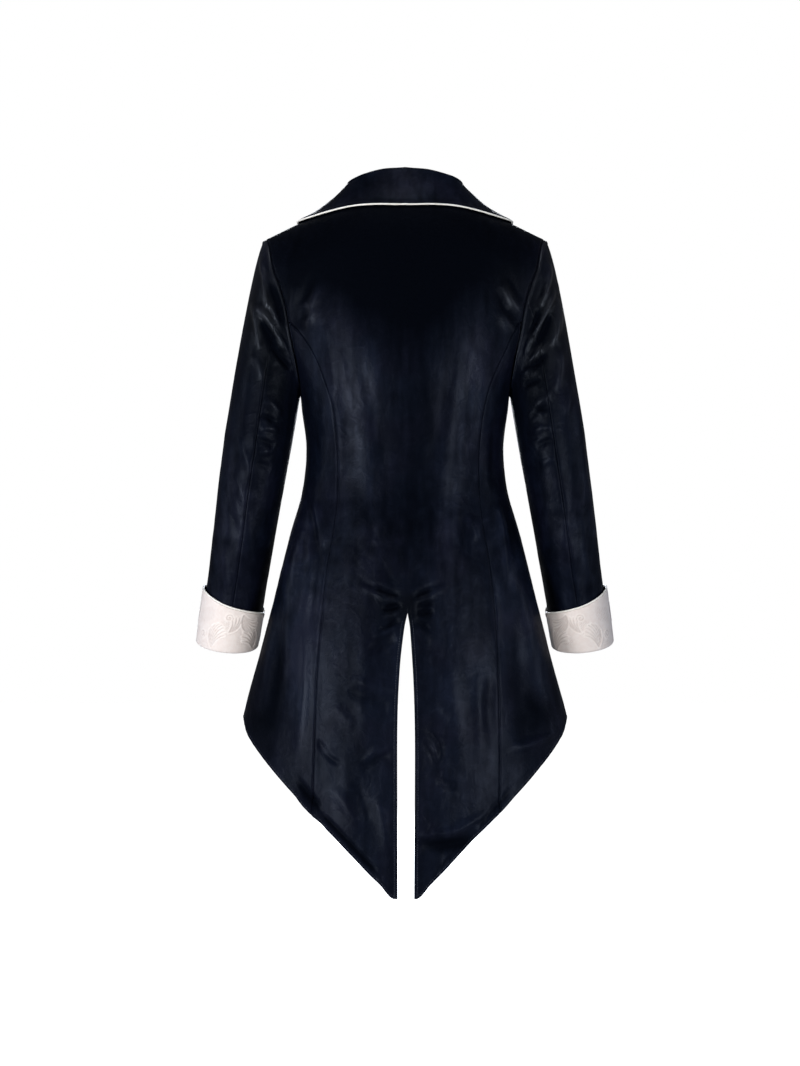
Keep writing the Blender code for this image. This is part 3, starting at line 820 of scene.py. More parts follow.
def panelPlan(nearTheta, farTheta, parts, hem):
    # direction and height of every grid point of a panel
    def thetaOf(height, turn):
        return (1 - parts) * nearTheta(height, turn) + parts * farTheta(height, turn)

    foot = footHeights(thetaOf, hem, len(parts))
    lower = foot + (bodyCut["lowerTop"] - foot) * lowerParts[:, None]
    upper = np.concatenate([waistHeights, turnHeight(armholeTurns)])[:, None] + 0 * parts
    heights = np.concatenate([lower, upper])
    thetas = [thetaOf(height, np.full(len(parts), turn)) for height, turn in zip(heights, rowTurns)]
    return np.array(thetas), heights


# Folds of the body as seen from behind: from, to, width, depth and bow. Plus is a ridge, minus a trough.
backFolds = (
    # pulls below the shoulder blades and towards the armholes
    (133, -150, 150, -185, 7, -2.2, 0),
    (125, -153, 141, -178, 5, 1.8, 2),
    (118, -120, 141, -165, 5, 1.6, 3),
    (128, -105, 146, -150, 5, -1.4, 3),
    (150, -120, 158, -160, 5, 1.2, -2),
    (-133, -119, -160, -160, 6, 2.2, -3),
    (-128, -125, -150, -172, 5, -1.6, -3),
    (-140, -104, -168, -150, 5, -1.2, -2),
    (-132, -158, -152, -188, 6, 2.0, -2),
    (-146, -150, -163, -182, 4, -1.4, -2),
    # long soft drags down both side bodies
    (104, -190, 52, -430, 20, 0.5, 6),
    (116, -230, 84, -400, 9, 0.7, -4),
    (92, -180, 66, -300, 7, -0.6, 3),
    (70, -210, 30, -370, 12, -0.8, 4),
    (112, -175, 100, -290, 6, 0.7, 4),
    (-96, -190, -52, -420, 14, 1.0, -6),
    (-108, -220, -92, -380, 8, 0.6, 5),
    (-90, -190, -76, -300, 6, -0.6, -3),
    (-70, -220, -40, -380, 12, -0.7, -4),
    (125, -260, 128, -400, 7, -1.0, 3),
    (-124, -280, -126, -420, 7, -1.2, -3),
    # waist and skirt sides
    (132, -415, 113, -490, 6, 2.2, 4),
    (138, -400, 124, -500, 5, -1.8, 4),
    (141, -455, 152, -545, 6, 2.0, -3),
    (150, -470, 166, -640, 9, 2.6, -6),
    (162, -540, 178, -700, 8, -1.4, -5),
    (176, -560, 205, -720, 12, 3.0, 0),
    (166, -540, 184, -745, 9, -1.6, 0),
    (139, -600, 148, -770, 6, 1.8, 5),
    (-136, -415, -155, -500, 6, -2.4, 3),
    (-128, -420, -140, -540, 5, 1.8, 3),
    (-85, -440, -100, -475, 6, 1.8, 2),
    (-74, -440, -86, -500, 6, -1.2, 2),
    (-146, -500, -172, -650, 11, 2.0, 4),
    (-158, -520, -196, -740, 20, 2.6, 8),
    (-146, -590, -158, -760, 14, -1.4, 4),
    (-190, -640, -206, -730, 10, -1.2, 4),
    (-120, -470, -132, -640, 6, -1.2, -3),
    (120, -470, 134, -600, 6, -1.3, 3),
    # puckers from the top of the slit
    (8, -549, 42, -538, 3.6, -3.0, 1),
    (30, -541, 62, -529, 3.6, -1.1, 1),
    (28, -549, 60, -537, 3.0, 0.9, 1),
    (7, -557, 40, -548, 3.2, 1.2, 1),
    (7, -561, 32, -568, 4.0, -3.4, 1),
    (6, -571, 30, -577, 2.8, 1.0, 1),
    (9, -582, 36, -596, 3.4, -2.6, 1),
    (10, -590, 44, -606, 3.0, 1.3, 1),
    (12, -598, 50, -624, 5.0, -1.4, -2),
    (-13, -551, -38, -541, 3.6, -3.0, 1),
    (-30, -542, -54, -532, 3.6, -1.2, 1),
    (-28, -550, -52, -541, 3.0, 0.9, 1),
    (-12, -557, -40, -551, 3.0, 1.0, 1),
    (-15, -563, -42, -560, 3.2, -2.2, 1),
    (-16, -573, -40, -571, 4.4, -3.4, 0),
    (-13, -583, -34, -597, 3.4, -2.4, 2),
    (-12, -592, -34, -616, 4.0, 1.0, 2),
    (-8, -546, -22, -505, 7.0, -0.7, 3),
    (12, -540, 30, -505, 6.0, -0.7, 2),
    # tails
    (120, -746, 88, -780, 4, -1.8, -3),
    (116, -752, 92, -772, 3.5, 1.1, -3),
    (60, -786, 20, -765, 5, -1.9, 3),
    (58, -778, 22, -754, 5, 1.2, 3),
    (76, -664, 16, -684, 7, 1.7, 3),
    (80, -680, 22, -702, 8, -1.2, 3),
    (40, -628, 12, -608, 4, -1.5, 2),
    (100, -700, 70, -730, 8, 1.0, 2),
    (104, -810, 60, -870, 9, 1.4, 4),
    (70, -800, 50, -860, 7, -1.2, 3),
    (40, -820, 25, -900, 8, 1.3, 3),
    (-26, -728, -50, -776, 6, -1.8, 8),
    (-24, -740, -42, -770, 3.5, 1.6, 6),
    (-22, -752, -40, -778, 3, -1.3, 5),
    (-28, -700, -60, -720, 7, 1.1, 3),
    (-42, -800, -68, -812, 5, -1.5, 2),
    (-18, -874, -98, -856, 4.5, 2.8, -6),
    (-22, -889, -96, -876, 8, -2.6, -6),
    (-70, -860, -120, -842, 5, 1.4, -3),
    (-118, -660, -115, -740, 9, -1.4, -4),
    (-60, -640, -75, -800, 14, 1.4, 4),
    (-100, -640, -98, -780, 10, 1.1, 4),
    (-140, -757, -214, -738, 5, 2.6, -5),
    (-150, -742, -200, -722, 12, -1.6, -6),
    (-172, -704, -196, -690, 14, -1.2, 3),
    (60, -600, 66, -760, 16, 1.2, 4),
)

frontFolds = (
    # side, height, seen from the front
    (150, -120, 110, -200, 9, -1.8, 4),
    (140, -100, 90, -170, 10, 1.6, 4),
    (148, -185, 120, -240, 6, -1.4, 3),
    (96, -230, 92, -380, 12, 1.4, 4),
    (60, -300, 50, -420, 10, -1.1, 3),
    (120, -300, 112, -420, 8, 1.1, -3),
    (40, -330, 95, -345, 8, -1.2, 3),
    (130, -410, 96, -470, 7, 1.6, 3),
    (110, -430, 150, -560, 9, -1.7, 4),
    (80, -440, 120, -560, 9, 1.5, 4),
    (150, -480, 190, -680, 9, 2.2, 4),
    (170, -540, 210, -700, 8, -2.0, 3),
    (20, -420, 60, -440, 6, -1.0, 2),
)


# How light the cloth is painted, partly the brushed pile's tone and partly painted shade and light: x,
# height, half width, half height and how light it makes the cloth
napBase = 0.44
backNapAndShade = (
    # painted shadow of the collar over the upper back, partly the pile's tone
    (0, -70, 200, 90, -0.62),
    (5, -150, 90, 62, -0.26),
    (100, -205, 22, 48, 0.34),
    (66, -300, 32, 74, 0.30),
    (44, -225, 13, 50, 0.26),
    (-14, -290, 40, 130, -0.22),
    (-94, -270, 22, 90, 0.34),
    (128, -290, 16, 90, 0.10),
    (-128, -290, 14, 120, 0.05),
    (10, -455, 75, 62, -0.22),
    (40, -500, 12, 14, 0.12),
    (84, -470, 12, 22, 0.12),
    (-60, -470, 14, 26, 0.16),
    (142, -600, 24, 130, 0.62),
    (178, -650, 20, 90, -0.16),
    (196, -730, 26, 50, -0.30),
    (205, -650, 26, 90, -0.25),
    (60, -840, 40, 70, 0.04),
    (-76, -650, 40, 90, 0.20),
    # painted shade in the puckers at the top of the slit
    (0, -566, 40, 26, -0.44),
    # painted shade under the curved fold near one tail's hem
    (-60, -886, 42, 10, -0.40),
    (70, -660, 44, 90, -0.08),
    (-140, -560, 12, 80, 0.24),
    (-174, -700, 17, 26, -0.30),
    (-190, -714, 15, 18, -0.34),
    (-164, -722, 12, 10, -0.18),
    (-150, -640, 12, 70, -0.10),
    (-60, -830, 40, 60, 0.08),
    (-200, -620, 26, 90, -0.12),
    (205, -560, 18, 90, -0.18),
    (150, -115, 26, 44, -0.16),
    (-150, -115, 24, 44, -0.12),
)


def patches(table, across, height):
    total = np.zeros(np.broadcast(across, height).shape)
    for x, z, wide, tall, amount in table:
        total += amount * hump(across, x, wide) * hump(height, z, tall)
    return total


# Where the pile is pressed shiny, in the same way
backPolish = (
    (0, -562, 40, 24, 0.9),
    (-148, -140, 20, 36, 1.6),
    (142, -158, 18, 36, 0.9),
    (-35, -765, 18, 60, 0.4),
    (60, -490, 60, 50, 0.35),
    (150, -480, 14, 60, 0.3),
)


brushLook = {"waist": (-480, 80), "blotch": 0.12, "waistBlotch": 0.30, "calmBelow": -560, "calm": 0.4}


def brushed(lean, points):
    # breaks the charted patches of pile tone and painted shade up into uneven strokes, blotched at the
    # waist and calmer on the tails
    look, height = brushLook, points[..., 2]
    blotch = look["blotch"] + look["waistBlotch"] * hump(height, *look["waist"])
    uneven = layered(points, "strokes") + layered(points, "blotches") * blotch
    calm = 1 - look["calm"] * ease((look["calmBelow"] - height) / 80)
    return np.clip(lean + uneven * calm * (0.15 + 1.1 * lean), 0, 1)


# Patches of small crushed creases: x, height, half width, half height, depth
backCrumples = (
    (15, -490, 85, 46, 0.75),
    (60, -645, 60, 34, 0.3),
    (-42, -765, 22, 58, 1.3),
    (-40, -885, 22, 40, 1.0),
    (-60, -660, 50, 40, 0.25),
    (70, -770, 40, 40, 0.3),
    (120, -330, 24, 90, 0.5),
    (-125, -400, 26, 90, 0.5),
    (150, -480, 16, 60, 0.6),
    (-95, -190, 34, 40, 0.35),
    (105, -160, 34, 40, 0.35),
)


def crumpled(points, table, across, height):
    # short sharp creases where the noise crosses zero, only inside the patches
    ridges = hump(layered(points, "crumples"), 0, 0.16) - 0.4
    return -ridges * patches(table, across, height)


def softHills(points, strength=1.0):
    # uneven drape: long soft swells and small crushed ones, stronger about the waist and the tails
    height = points[..., 2]
    low = ease((-height - 110) / 120)
    creased = hump(height, -470, 110) + hump(height, -720, 120) * 0.5
    long = layered(points, "swell") * (0.25 + 0.75 * low)
    return strength * (long + layered(points, "crushed") * (0.35 + creased * low))


def rollDrop(away, radius=1.0):
    return radius - np.sqrt(np.clip(radius**2 - np.clip(radius - away, 0, radius) ** 2, 0, None))


seamLook = {"dip": 0.60, "dipWidth": 1.3, "swell": 0.32, "swellAt": 3.6, "swellWidth": 3.0}
armholeLook = {"roll": 0.9, "rollWidth": 2.2, "polish": 1.4, "polishWidth": 2.6}
hemLook = {
    "stitchIn": 5.0,
    "groove": 0.45,
    "grooveWidth": 1.1,
    "band": 0.30,
    "bandFade": 3.0,
    "pucker": 0.30,
    "puckerWidth": 6.0,
    "puckerLength": 13.0,
}


def seamShape(away):
    # the cloth falls into a seam, beside a slight swell over the turned edges
    look = seamLook
    swell = look["swell"] * hump(away, look["swellAt"], look["swellWidth"])
    return swell - rollDrop(away) - look["dip"] * hump(away, 0, look["dipWidth"])


def armholeDrop(away):
    return armholeLook["roll"] * hump(away, 0, armholeLook["rollWidth"])


def armholePolish(away):
    return armholeLook["polish"] * hump(away, 0, armholeLook["polishWidth"])


def hemShape(points, edge):
    # a turned and stitched edge: a rolled rim, a groove under the stitches and small puckers inside it
    away, run = edgeAway(points, edge), edgeLength(points, edge)
    look = hemLook
    uneven = run / look["puckerLength"] * 2 * math.pi + 2.2 * np.sin(run / 31.0) + 1.3 * np.sin(run / 17.0)
    pucker = look["pucker"] * np.sin(uneven) * hump(away, look["stitchIn"], look["puckerWidth"])
    groove = look["groove"] * hump(away, look["stitchIn"], look["grooveWidth"])
    band = look["band"] * (1 - ease((away - look["stitchIn"]) / look["bandFade"]))
    return band + pucker - groove - rollDrop(away)


def armholeSpot(turn):
    folded = np.where(turn <= 180, turn, 360 - turn)
    return np.where(turn <= 180, 1, -1) * turnTheta(folded), turnHeight(folded)


def drawIn(points, edge, rows=slice(None)):
    # draws one edge in by half of the seam's gap
    line, inner = {
        "first": (points[rows, 0], points[rows, 7]),
        "last": (points[rows, -1], points[rows, -8]),
        "top": (points[-1], points[-3]),
    }[edge]
    drawn = line + unit(inner - line) * bodyCut["seamGap"]
    if edge == "top":
        points[-1] = drawn
    else:
        points[rows, 0 if edge == "first" else -1] = drawn


def bodyWall(base, normals, wallWays, raised, finish):
    outside = base + normals * (raised + finish)[..., None]
    inside = base + normals * raised[..., None] - wallWays * bodyCut["wall"]
    return outside, inside


def bodyRaised(base, side, thetas):
    # how far the drape raises each point, and the folds' own share of it
    behind, ahead = ease(np.sin(thetas) * 4), ease(-np.sin(thetas) * 4)
    x, z = side * base[..., 0], base[..., 2]
    folds = creases(backFolds, x, z) * behind + creases(frontFolds, base[..., 0], z) * ahead
    mirrored = base * np.array([side, 1, 1])
    small = crumpled(mirrored, backCrumples, x, z) * behind
    return folds + small + softHills(mirrored), folds


foldLook = {
    "shade": 0.07,
    "darkest": -0.35,
    "lightest": 0.16,
    "flatShine": 0.5,
    "shine": 0.35,
    "mostShine": 1.5,
}


def foldShade(folds):
    # painted shade darkens the cloth down in a trough and a painted highlight lightens it along a ridge
    return np.clip(folds * foldLook["shade"], foldLook["darkest"], foldLook["lightest"])


def pressed(table, across, height, folds):
    # a pressed patch shines most along its ridges
    share = np.clip(foldLook["flatShine"] + folds * foldLook["shine"], 0, foldLook["mostShine"])
    return patches(table, across, height) * share


# Where the hem has curled outwards: from x, to x, how far, and how wide the curled strip is
hemCurls = ((34, 118, 4.6, 9.0), (112, 152, 6.0, 15.0), (-150, -96, 2.4, 10.0), (-70, -40, 2.0, 8.0))
curlFade = 14


def backPileShadeAndPolish(base, side, folds):
    # how light the pile is painted at each point seen from behind, with painted shade in troughs and under
    # curls and painted highlight on ridges, and how polished it is
    across, height = side * base[..., 0], base[..., 2]
    lean = napBase + patches(backNapAndShade, across, height) + curlShade(base, side) + foldShade(folds)
    return brushed(lean, base * np.array([side, 1, 1])), pressed(backPolish, across, height, folds)


def hemHeight(base):
    # distance in from the tails' hem, which is the same for the panels on both sides of a seam
    width = abs(base[..., 0])
    slope = tailHem(width + 0.5) - tailHem(width - 0.5)
    return (base[..., 2] - tailHem(width)) / np.sqrt(1 + slope**2)


def curls(base, side):
    # each curl's rise, strip width, share at each point, and the distance from the hem
    away, across = hemHeight(base), side * base[..., 0]
    for start, end, rise, wide in hemCurls:
        yield rise, wide, ease((across - start) / curlFade) * ease((end - across) / curlFade), away


def curled(base, side):
    raised = np.zeros(base.shape[:-1])
    for rise, wide, share, away in curls(base, side):
        raised += rise * share * (ease(1 - away / wide) - 0.5 * hump(away, wide * 1.15, wide * 0.3))
    return raised


def curlShade(base, side):
    # a painted highlight along a curled strip, over a painted shadow line where it leaves the cloth
    light = np.zeros(base.shape[:-1])
    for rise, wide, share, away in curls(base, side):
        light += share * rise / 5 * (0.25 * hump(away, 3, 3) - 0.7 * hump(away, wide, wide * 0.3))
    return light


# steps close to a panel's seam, and close to the slit
edgeParts = [0.0015, 0.004, 0.008, 0.014, 0.022, 0.034]
slitParts = [0, 0.002, 0.005, 0.010, 0.016, 0.024, 0.034, 0.046]


def armholeWays(turn):
    # wall directions of the body and of the sleeve where they meet, so that the walls can't cross
    body, sleeve = bodyNormal(*armholeSpot(turn)), sleeveNormal(turn, np.zeros_like(turn))
    shared = ease(((body * sleeve).sum(axis=-1) + 0.2) / 0.5)[..., None]
    return unit(body + sleeve * shared), unit(sleeve + body * shared)


# Sleeves

sleeveCut = {
    # height, out, back, width, depth
    "sections": (
        (-650, 261, -57, 82, 80),
        (-621, 255, -50, 83, 82),
        (-565, 244.5, -36, 84, 85),
        (-530, 238.5, -28, 84.5, 87),
        (-487, 231.5, -17, 87, 92),
        (-417, 220.5, -4, 91, 100),
        (-346, 209, 2, 94.5, 110),
        (-330, 206.5, 3, 95.5, 112),
        (-250, 193, 4, 99, 118),
    ),
    # turn, out, back, down
    "head": ((0, 4, 0, 50), (45, 22, 4, 60), (90, 52, 14, 64), (135, 52, 12, 60), (180, 40, 0, 26)),
    "gap": 0.1,
    "capFoot": -330.0,
    "foot": -617.0,
    "wristDrop": 7.0,
    "capSteps": 88,
    "armSteps": 112,
    "turnSteps": 66,
}
sleeveOut, sleeveBack = (smoothCurve(sleeveCut["sections"], n) for n in (1, 2))
sleeveWidth, sleeveDepth = (smoothCurve(sleeveCut["sections"], n) for n in (3, 4))
headOut, headBack, headDown = (smoothCurve(sleeveCut["head"], n) for n in (1, 2, 3))
capFoot, sleeveFoot = sleeveCut["capFoot"], sleeveCut["foot"]


def sleeveAxis(height):
    centre, above = (
        np.stack(np.broadcast_arrays(sleeveOut(level), sleeveBack(level), level), axis=-1)
        for level in (height, height + 5)
    )
    along = unit(centre - above)
    out = unit(np.array([1.0, 0, 0]) - along[..., :1] * along)
    return centre, along, out, np.cross(out, along)


def sleeveRing(turn, height):
    centre, _, out, back = sleeveAxis(height)
    angle = np.radians(turn)
    wide, deep = sleeveWidth(height) / 2 * np.cos(angle), sleeveDepth(height) / 2 * np.sin(angle)
    return centre - out * wide[..., None] + back * deep[..., None]


def wristFall(turn):
    return sleeveCut["wristDrop"] * (1 - np.cos(np.radians(turn))) / 2


def sleeveBase(turn, part):
    # part 0 is the armhole, 1 the end of the cap and 2 the wrist
    turn = turn % 360
    lower = np.clip(part - 1, 0, None)
    arm = sleeveRing(turn, capFoot + (sleeveFoot - capFoot) * lower - wristFall(turn) * lower**3)
    start = bodyBase(*armholeSpot(turn)) + np.array([sleeveCut["gap"], 0, 0])
    level = np.full(np.shape(turn), capFoot)
    end = sleeveRing(turn, level)
    folded = np.where(turn <= 180, turn, 360 - turn)
    facing = np.where(turn <= 180, 1, -1)
    leave = np.stack([headOut(folded), facing * headBack(folded), -headDown(folded)], axis=-1)
    arrive = sleeveAxis(level)[1] * np.linalg.norm(end - start, axis=-1, keepdims=True) * 0.9
    u = np.clip(part, 0, 1)[..., None]
    cap = start * (1 + 2 * u) * (1 - u) ** 2 + leave * u * (1 - u) ** 2
    cap = cap + end * u * u * (3 - 2 * u) - arrive * u * u * (1 - u)
    return np.where((part > 1)[..., None], arm, cap)


def sleeveNormal(turn, part):
    low, high = np.maximum(part - 0.01, 0), np.minimum(part + 0.01, 2)
    around = sleeveBase(turn + 1, part) - sleeveBase(turn - 1, part)
    return unit(np.cross(around, sleeveBase(turn, high) - sleeveBase(turn, low)))


# Creases of each sleeve as seen from behind: distance from the middle and height, as for the body
sleeveFolds = {
    1: (
        (203, -74, 192, -156, 3.6, 2.6, 2),
        (215, -140, 204, -208, 4.0, 2.4, 3),
        (208, -146, 178, -188, 5.5, 2.2, 2),
        (190, -142, 175, -176, 3.2, 1.7, 1),
        (180, -184, 162, -214, 3.6, 1.8, 1),
        (178, -212, 156, -230, 2.6, 1.8, 1),
        (202, -166, 180, -210, 6.5, -2.4, 2),
        (190, -112, 168, -178, 5.0, -2.2, 3),
        (186, -204, 158, -236, 5.0, -2.4, 1),
        (199, -100, 190, -140, 3.0, -1.2, 1),
        (213, -216, 198, -250, 6.0, 1.4, 2),
        (196, -278, 172, -298, 5.0, 1.5, 2),
        (204, -300, 180, -310, 4.0, -1.5, 2),
        (200, -318, 176, -322, 4.5, 1.6, 2),
        (206, -334, 182, -344, 4.0, -1.6, 2),
        (202, -352, 184, -350, 4.0, 1.2, 1),
        (208, -366, 188, -376, 5.0, -1.2, 2),
        (236, -330, 214, -384, 5.0, 1.0, 3),
        (248, -370, 222, -430, 6.0, 1.0, 4),
        (250, -420, 236, -470, 5.0, -0.9, 3),
        (224, -430, 212, -520, 7.0, 0.9, 3),
        (258, -470, 240, -560, 7.0, 0.8, -3),
        (228, -520, 240, -600, 7.0, -0.7, 3),
    ),
    -1: (
        (204, -84, 187, -150, 3.6, 2.4, -3),
        (210, -120, 177, -190, 3.4, 2.4, -3),
        (216, -134, 204, -204, 5.5, 2.6, -4),
        (219, -96, 212, -130, 3.2, 1.6, -1),
        (202, -156, 180, -208, 5.0, -2.6, -2),
        (187, -150, 171, -188, 3.6, -2.0, -2),
        (198, -110, 186, -140, 3.2, -1.4, -1),
        (176, -190, 168, -218, 3.2, 2.2, 2),
        (191, -200, 170, -230, 3.6, 1.8, -1),
        (196, -214, 172, -240, 3.6, -2.4, -1),
        (184, -234, 160, -244, 3.0, 1.8, 1),
        (186, -226, 162, -237, 2.8, -1.9, 1),
        (190, -250, 164, -258, 3.6, -1.8, 1),
        (218, -206, 208, -268, 6.0, 1.8, -3),
        (206, -264, 180, -286, 5.0, 1.5, -2),
        (230, -254, 223, -300, 5.0, 1.4, -2),
        (200, -290, 174, -300, 4.0, -1.8, 2),
        (192, -298, 172, -296, 3.0, 1.6, 1),
        (204, -318, 178, -322, 4.5, 1.5, 2),
        (208, -334, 182, -344, 4.0, -1.6, 2),
        (210, -360, 188, -370, 4.5, 1.2, 2),
        (241, -262, 257, -416, 6.0, 1.2, 3),
        (228, -400, 216, -500, 7.0, 0.9, -3),
        (250, -440, 262, -540, 6.0, 0.8, 3),
        (236, -500, 244, -600, 8.0, -0.7, 3),
    ),
}
sleeveFrontFolds = (
    (206, -90, 190, -160, 5.0, -2.0, 3),
    (214, -120, 196, -190, 5.0, 1.8, 3),
    (196, -150, 174, -200, 5.0, -2.0, 2),
    (190, -320, 214, -330, 5.0, -2.2, 2),
    (188, -345, 216, -350, 5.0, 1.8, 2),
    (190, -365, 222, -374, 5.5, -2.2, 2),
    (196, -392, 224, -396, 5.0, 1.6, 2),
    (200, -420, 230, -432, 6.0, -1.5, 2),
    (232, -300, 240, -440, 8.0, 1.0, 3),
    (222, -460, 236, -580, 8.0, -0.8, 3),
)
# Patches of small creases, then of brushed pile, the last table also carrying painted shade and light:
# distance from the middle, height, half sizes and strength
sleeveCrumples = (
    (186, -325, 20, 52, 1.0),
    (178, -235, 16, 28, 0.8),
    (216, -410, 22, 70, 0.35),
    (240, -560, 26, 40, 0.25),
)
sleevePolish = (
    (198, -150, 34, 90, 2.5),
    (182, -320, 22, 50, 0.5),
)
sleeveNapAndShade = (
    (196, -170, 40, 80, -0.46),
    (178, -260, 22, 60, -0.36),
    (200, -340, 40, 60, -0.10),
    (220, -430, 40, 60, -0.02),
    (205, -520, 14, 90, -0.12),
    (238, -500, 22, 100, 0.10),
)


sleeveHead = {
    "ridge": 1.3,
    "ridgeAt": 3.8,
    "ridgeWidth": 2.4,
    "polish": 2.8,
    "polishAt": 2.6,
    "polishWidth": 1.9,
}


def sleeveRaised(base, turn, part, side):
    across, height = base[..., 0], base[..., 2]
    facing = np.sin(np.radians(turn)) * 2.5
    folds = creases(sleeveFolds[side], across, height) * ease(facing)
    folds = folds + creases(sleeveFrontFolds, across, height) * ease(-facing)
    mirrored = base * np.array([side, 1, 1])
    small = crumpled(mirrored, sleeveCrumples, across, height)
    return (folds + softHills(mirrored, 0.7) + small) * ease(part * 5), folds


def buildSleeve(side, name, firstTurn, lastTurn):
    parts = np.concatenate([
        [0.0, 0.004, 0.009, 0.014, 0.020, 0.027, 0.035],
        np.linspace(0, 1, sleeveCut["capSteps"] + 1)[4:],
        np.linspace(1, 2, sleeveCut["armSteps"] + 1)[1:],
    ])
    turns = firstTurn + (lastTurn - firstTurn) * spread(sleeveCut["turnSteps"], edgeParts)
    turn, part = np.meshgrid(turns, parts)
    base, normals = sleeveBase(turn, part), sleeveNormal(turn, part)
    ways = normals.copy()
    ways[0] = armholeWays(turns % 360)[1]
    drawIn(base, "first")
    drawIn(base, "last")
    raised, folds = sleeveRaised(base, turn, part, side)
    finish = seamShape(edgeAway(base, "first")) + seamShape(edgeAway(base, "last"))
    finish = finish * (0.3 + 0.7 * ease((-base[..., 2] - 200) / 80))
    head = runUp(base)
    look = sleeveHead
    finish = finish - rollDrop(head) + look["ridge"] * hump(head, look["ridgeAt"], look["ridgeWidth"])
    outside, inside = bodyWall(base, normals, ways, raised, finish)
    flip = np.array([side, 1, 1])
    # pile tone with painted shade in the troughs and painted highlight on the ridges
    nap = brushed(napBase + patches(sleeveNapAndShade, base[..., 0], base[..., 2]) + foldShade(folds), base * flip)
    polish = pressed(sleevePolish, base[..., 0], base[..., 2], folds)
    polish = polish + look["polish"] * hump(head, look["polishAt"], look["polishWidth"])
    masks = {"nap": [nap], "polish": [polish]}
    node = f"{name}_{sideNames[side]}"
    piece = addCloth(f"{node}_cloth", [(outside * flip, inside * flip)], masks=masks)
    finishPiece(piece, node, flatCuts[name])


# Back, side backs and fronts

midBack = math.pi / 2  # direction from the middle of the coat


def neckTops(parts):
    # where each column of the back ends: on the neckline, then on the shoulder seam
    thetaNeck, thetaTip = float(thetaAt(bodyCut["neckSide"], 0.0)), float(turnTheta(180))
    neckShare = bodyCut["neckShare"]
    onNeck = midBack + (thetaNeck - midBack) * np.clip(parts / neckShare, 0, 1)
    theta = onNeck + (thetaTip - thetaNeck) * np.clip((parts - neckShare) / (1 - neckShare), 0, 1)
    return theta, np.where(parts < neckShare, neckHeight(onNeck), 0.0)


def neckHeight(theta):
    across = bodyBase(theta, np.zeros_like(theta))[..., 0]
    return bodyCut["backNeck"] * (1 - (across / bodyCut["neckSide"]) ** 2)


def backParts():
    # steps across half of the back, close together at the slit and at the seam
    even = np.linspace(0, 1, gridSteps["back"] + 1)
    close = 1 - np.array(edgeParts[::-1])
    inside = even[(even > slitParts[-1] * 1.2) & (even < close[0] - 0.008)]
    parts = np.concatenate([slitParts, inside, close, [1]])
    parts[np.argmin(abs(parts - bodyCut["neckShare"]))] = bodyCut["neckShare"]
    return parts


def buildBack():
    parts = backParts()
    halves, stitchLines = [], []
    for side in (1, -1):
        thetas, heights = panelPlan(middleTheta(side), seamTheta(side), parts, tailHem)
        topTheta, topHeight = neckTops(parts)
        plain = midBack + (turnTheta(180) - midBack) * parts
        edge = seamTheta(side)
        for row in range(armholeRow + 1, len(heights)):
            full = turnHeight(rowTurns[row])
            risen = (full - underarm) / -underarm
            turn = np.full(len(parts), rowTurns[row])
            heights[row] = underarm + risen * (topHeight - underarm)
            seamSide = edge(np.full(len(parts), full), turn)
            thetas[row] = midBack + (seamSide - midBack) * parts + (topTheta - plain) * ease(risen)
        base, normals = bodyBase(thetas, heights), bodyNormal(thetas, heights)
        ways = normals.copy()
        late = rowTurns >= bodyCut["seamTurn"]
        ways[late, -1] = armholeWays(rowTurns[late])[0]
        drawIn(base, "last")
        drawIn(base, "top")
        raised, folds = bodyRaised(base, side, thetas)
        raised = raised + curled(base, side)
        seamAway = edgeAway(base, "last")
        opened = ease((bodyCut["slitTop"] - heights[:, :1] + 4) / 8)
        finish = seamShape(seamAway) - late[:, None] * armholeDrop(seamAway)
        finish = finish + hemShape(base, "first") * opened + hemShape(base, "foot")
        finish = finish - rollDrop(edgeAway(base, "top"))
        outside, inside = bodyWall(base, normals, ways, raised, finish)
        nap, polish = backPileShadeAndPolish(base, side, folds)
        polish = polish + late[:, None] * armholePolish(seamAway)
        flip = np.array([side, 1, 1])
        half = [outside * flip, inside * flip, nap, polish]
        slitRows = heights[:, 0] < bodyCut["slitTop"] - 6
        stitchLines.append(stitchPath(half[0][slitRows], (normals * flip)[slitRows], "first"))
        stitchLines.append(stitchPath(half[0], normals * flip, "foot"))
        if side > 0:
            halves.append(half)
        else:
            halves.insert(0, [part[:, ::-1] for part in half])
    grids = [half[:2] for half in halves]
    join(grids)
    masks = {"nap": [half[2] for half in halves], "polish": [half[3] for half in halves]}
    finishPiece(addCloth("back_cloth", grids, masks=masks), "back", flatCuts["back"])
    return stitchLines


def join(grids):
    # above the slit the two halves share their middle points
    (rightOut, rightIn), (leftOut, leftIn) = grids
    shared = np.linalg.norm(rightOut[:, -1] - leftOut[:, 0], axis=-1) < 1.0
    for right, left in ((rightOut, leftOut), (rightIn, leftIn)):
        middle = (right[shared, -1] + left[shared, 0]) / 2
        right[shared, -1], left[shared, 0] = middle, middle


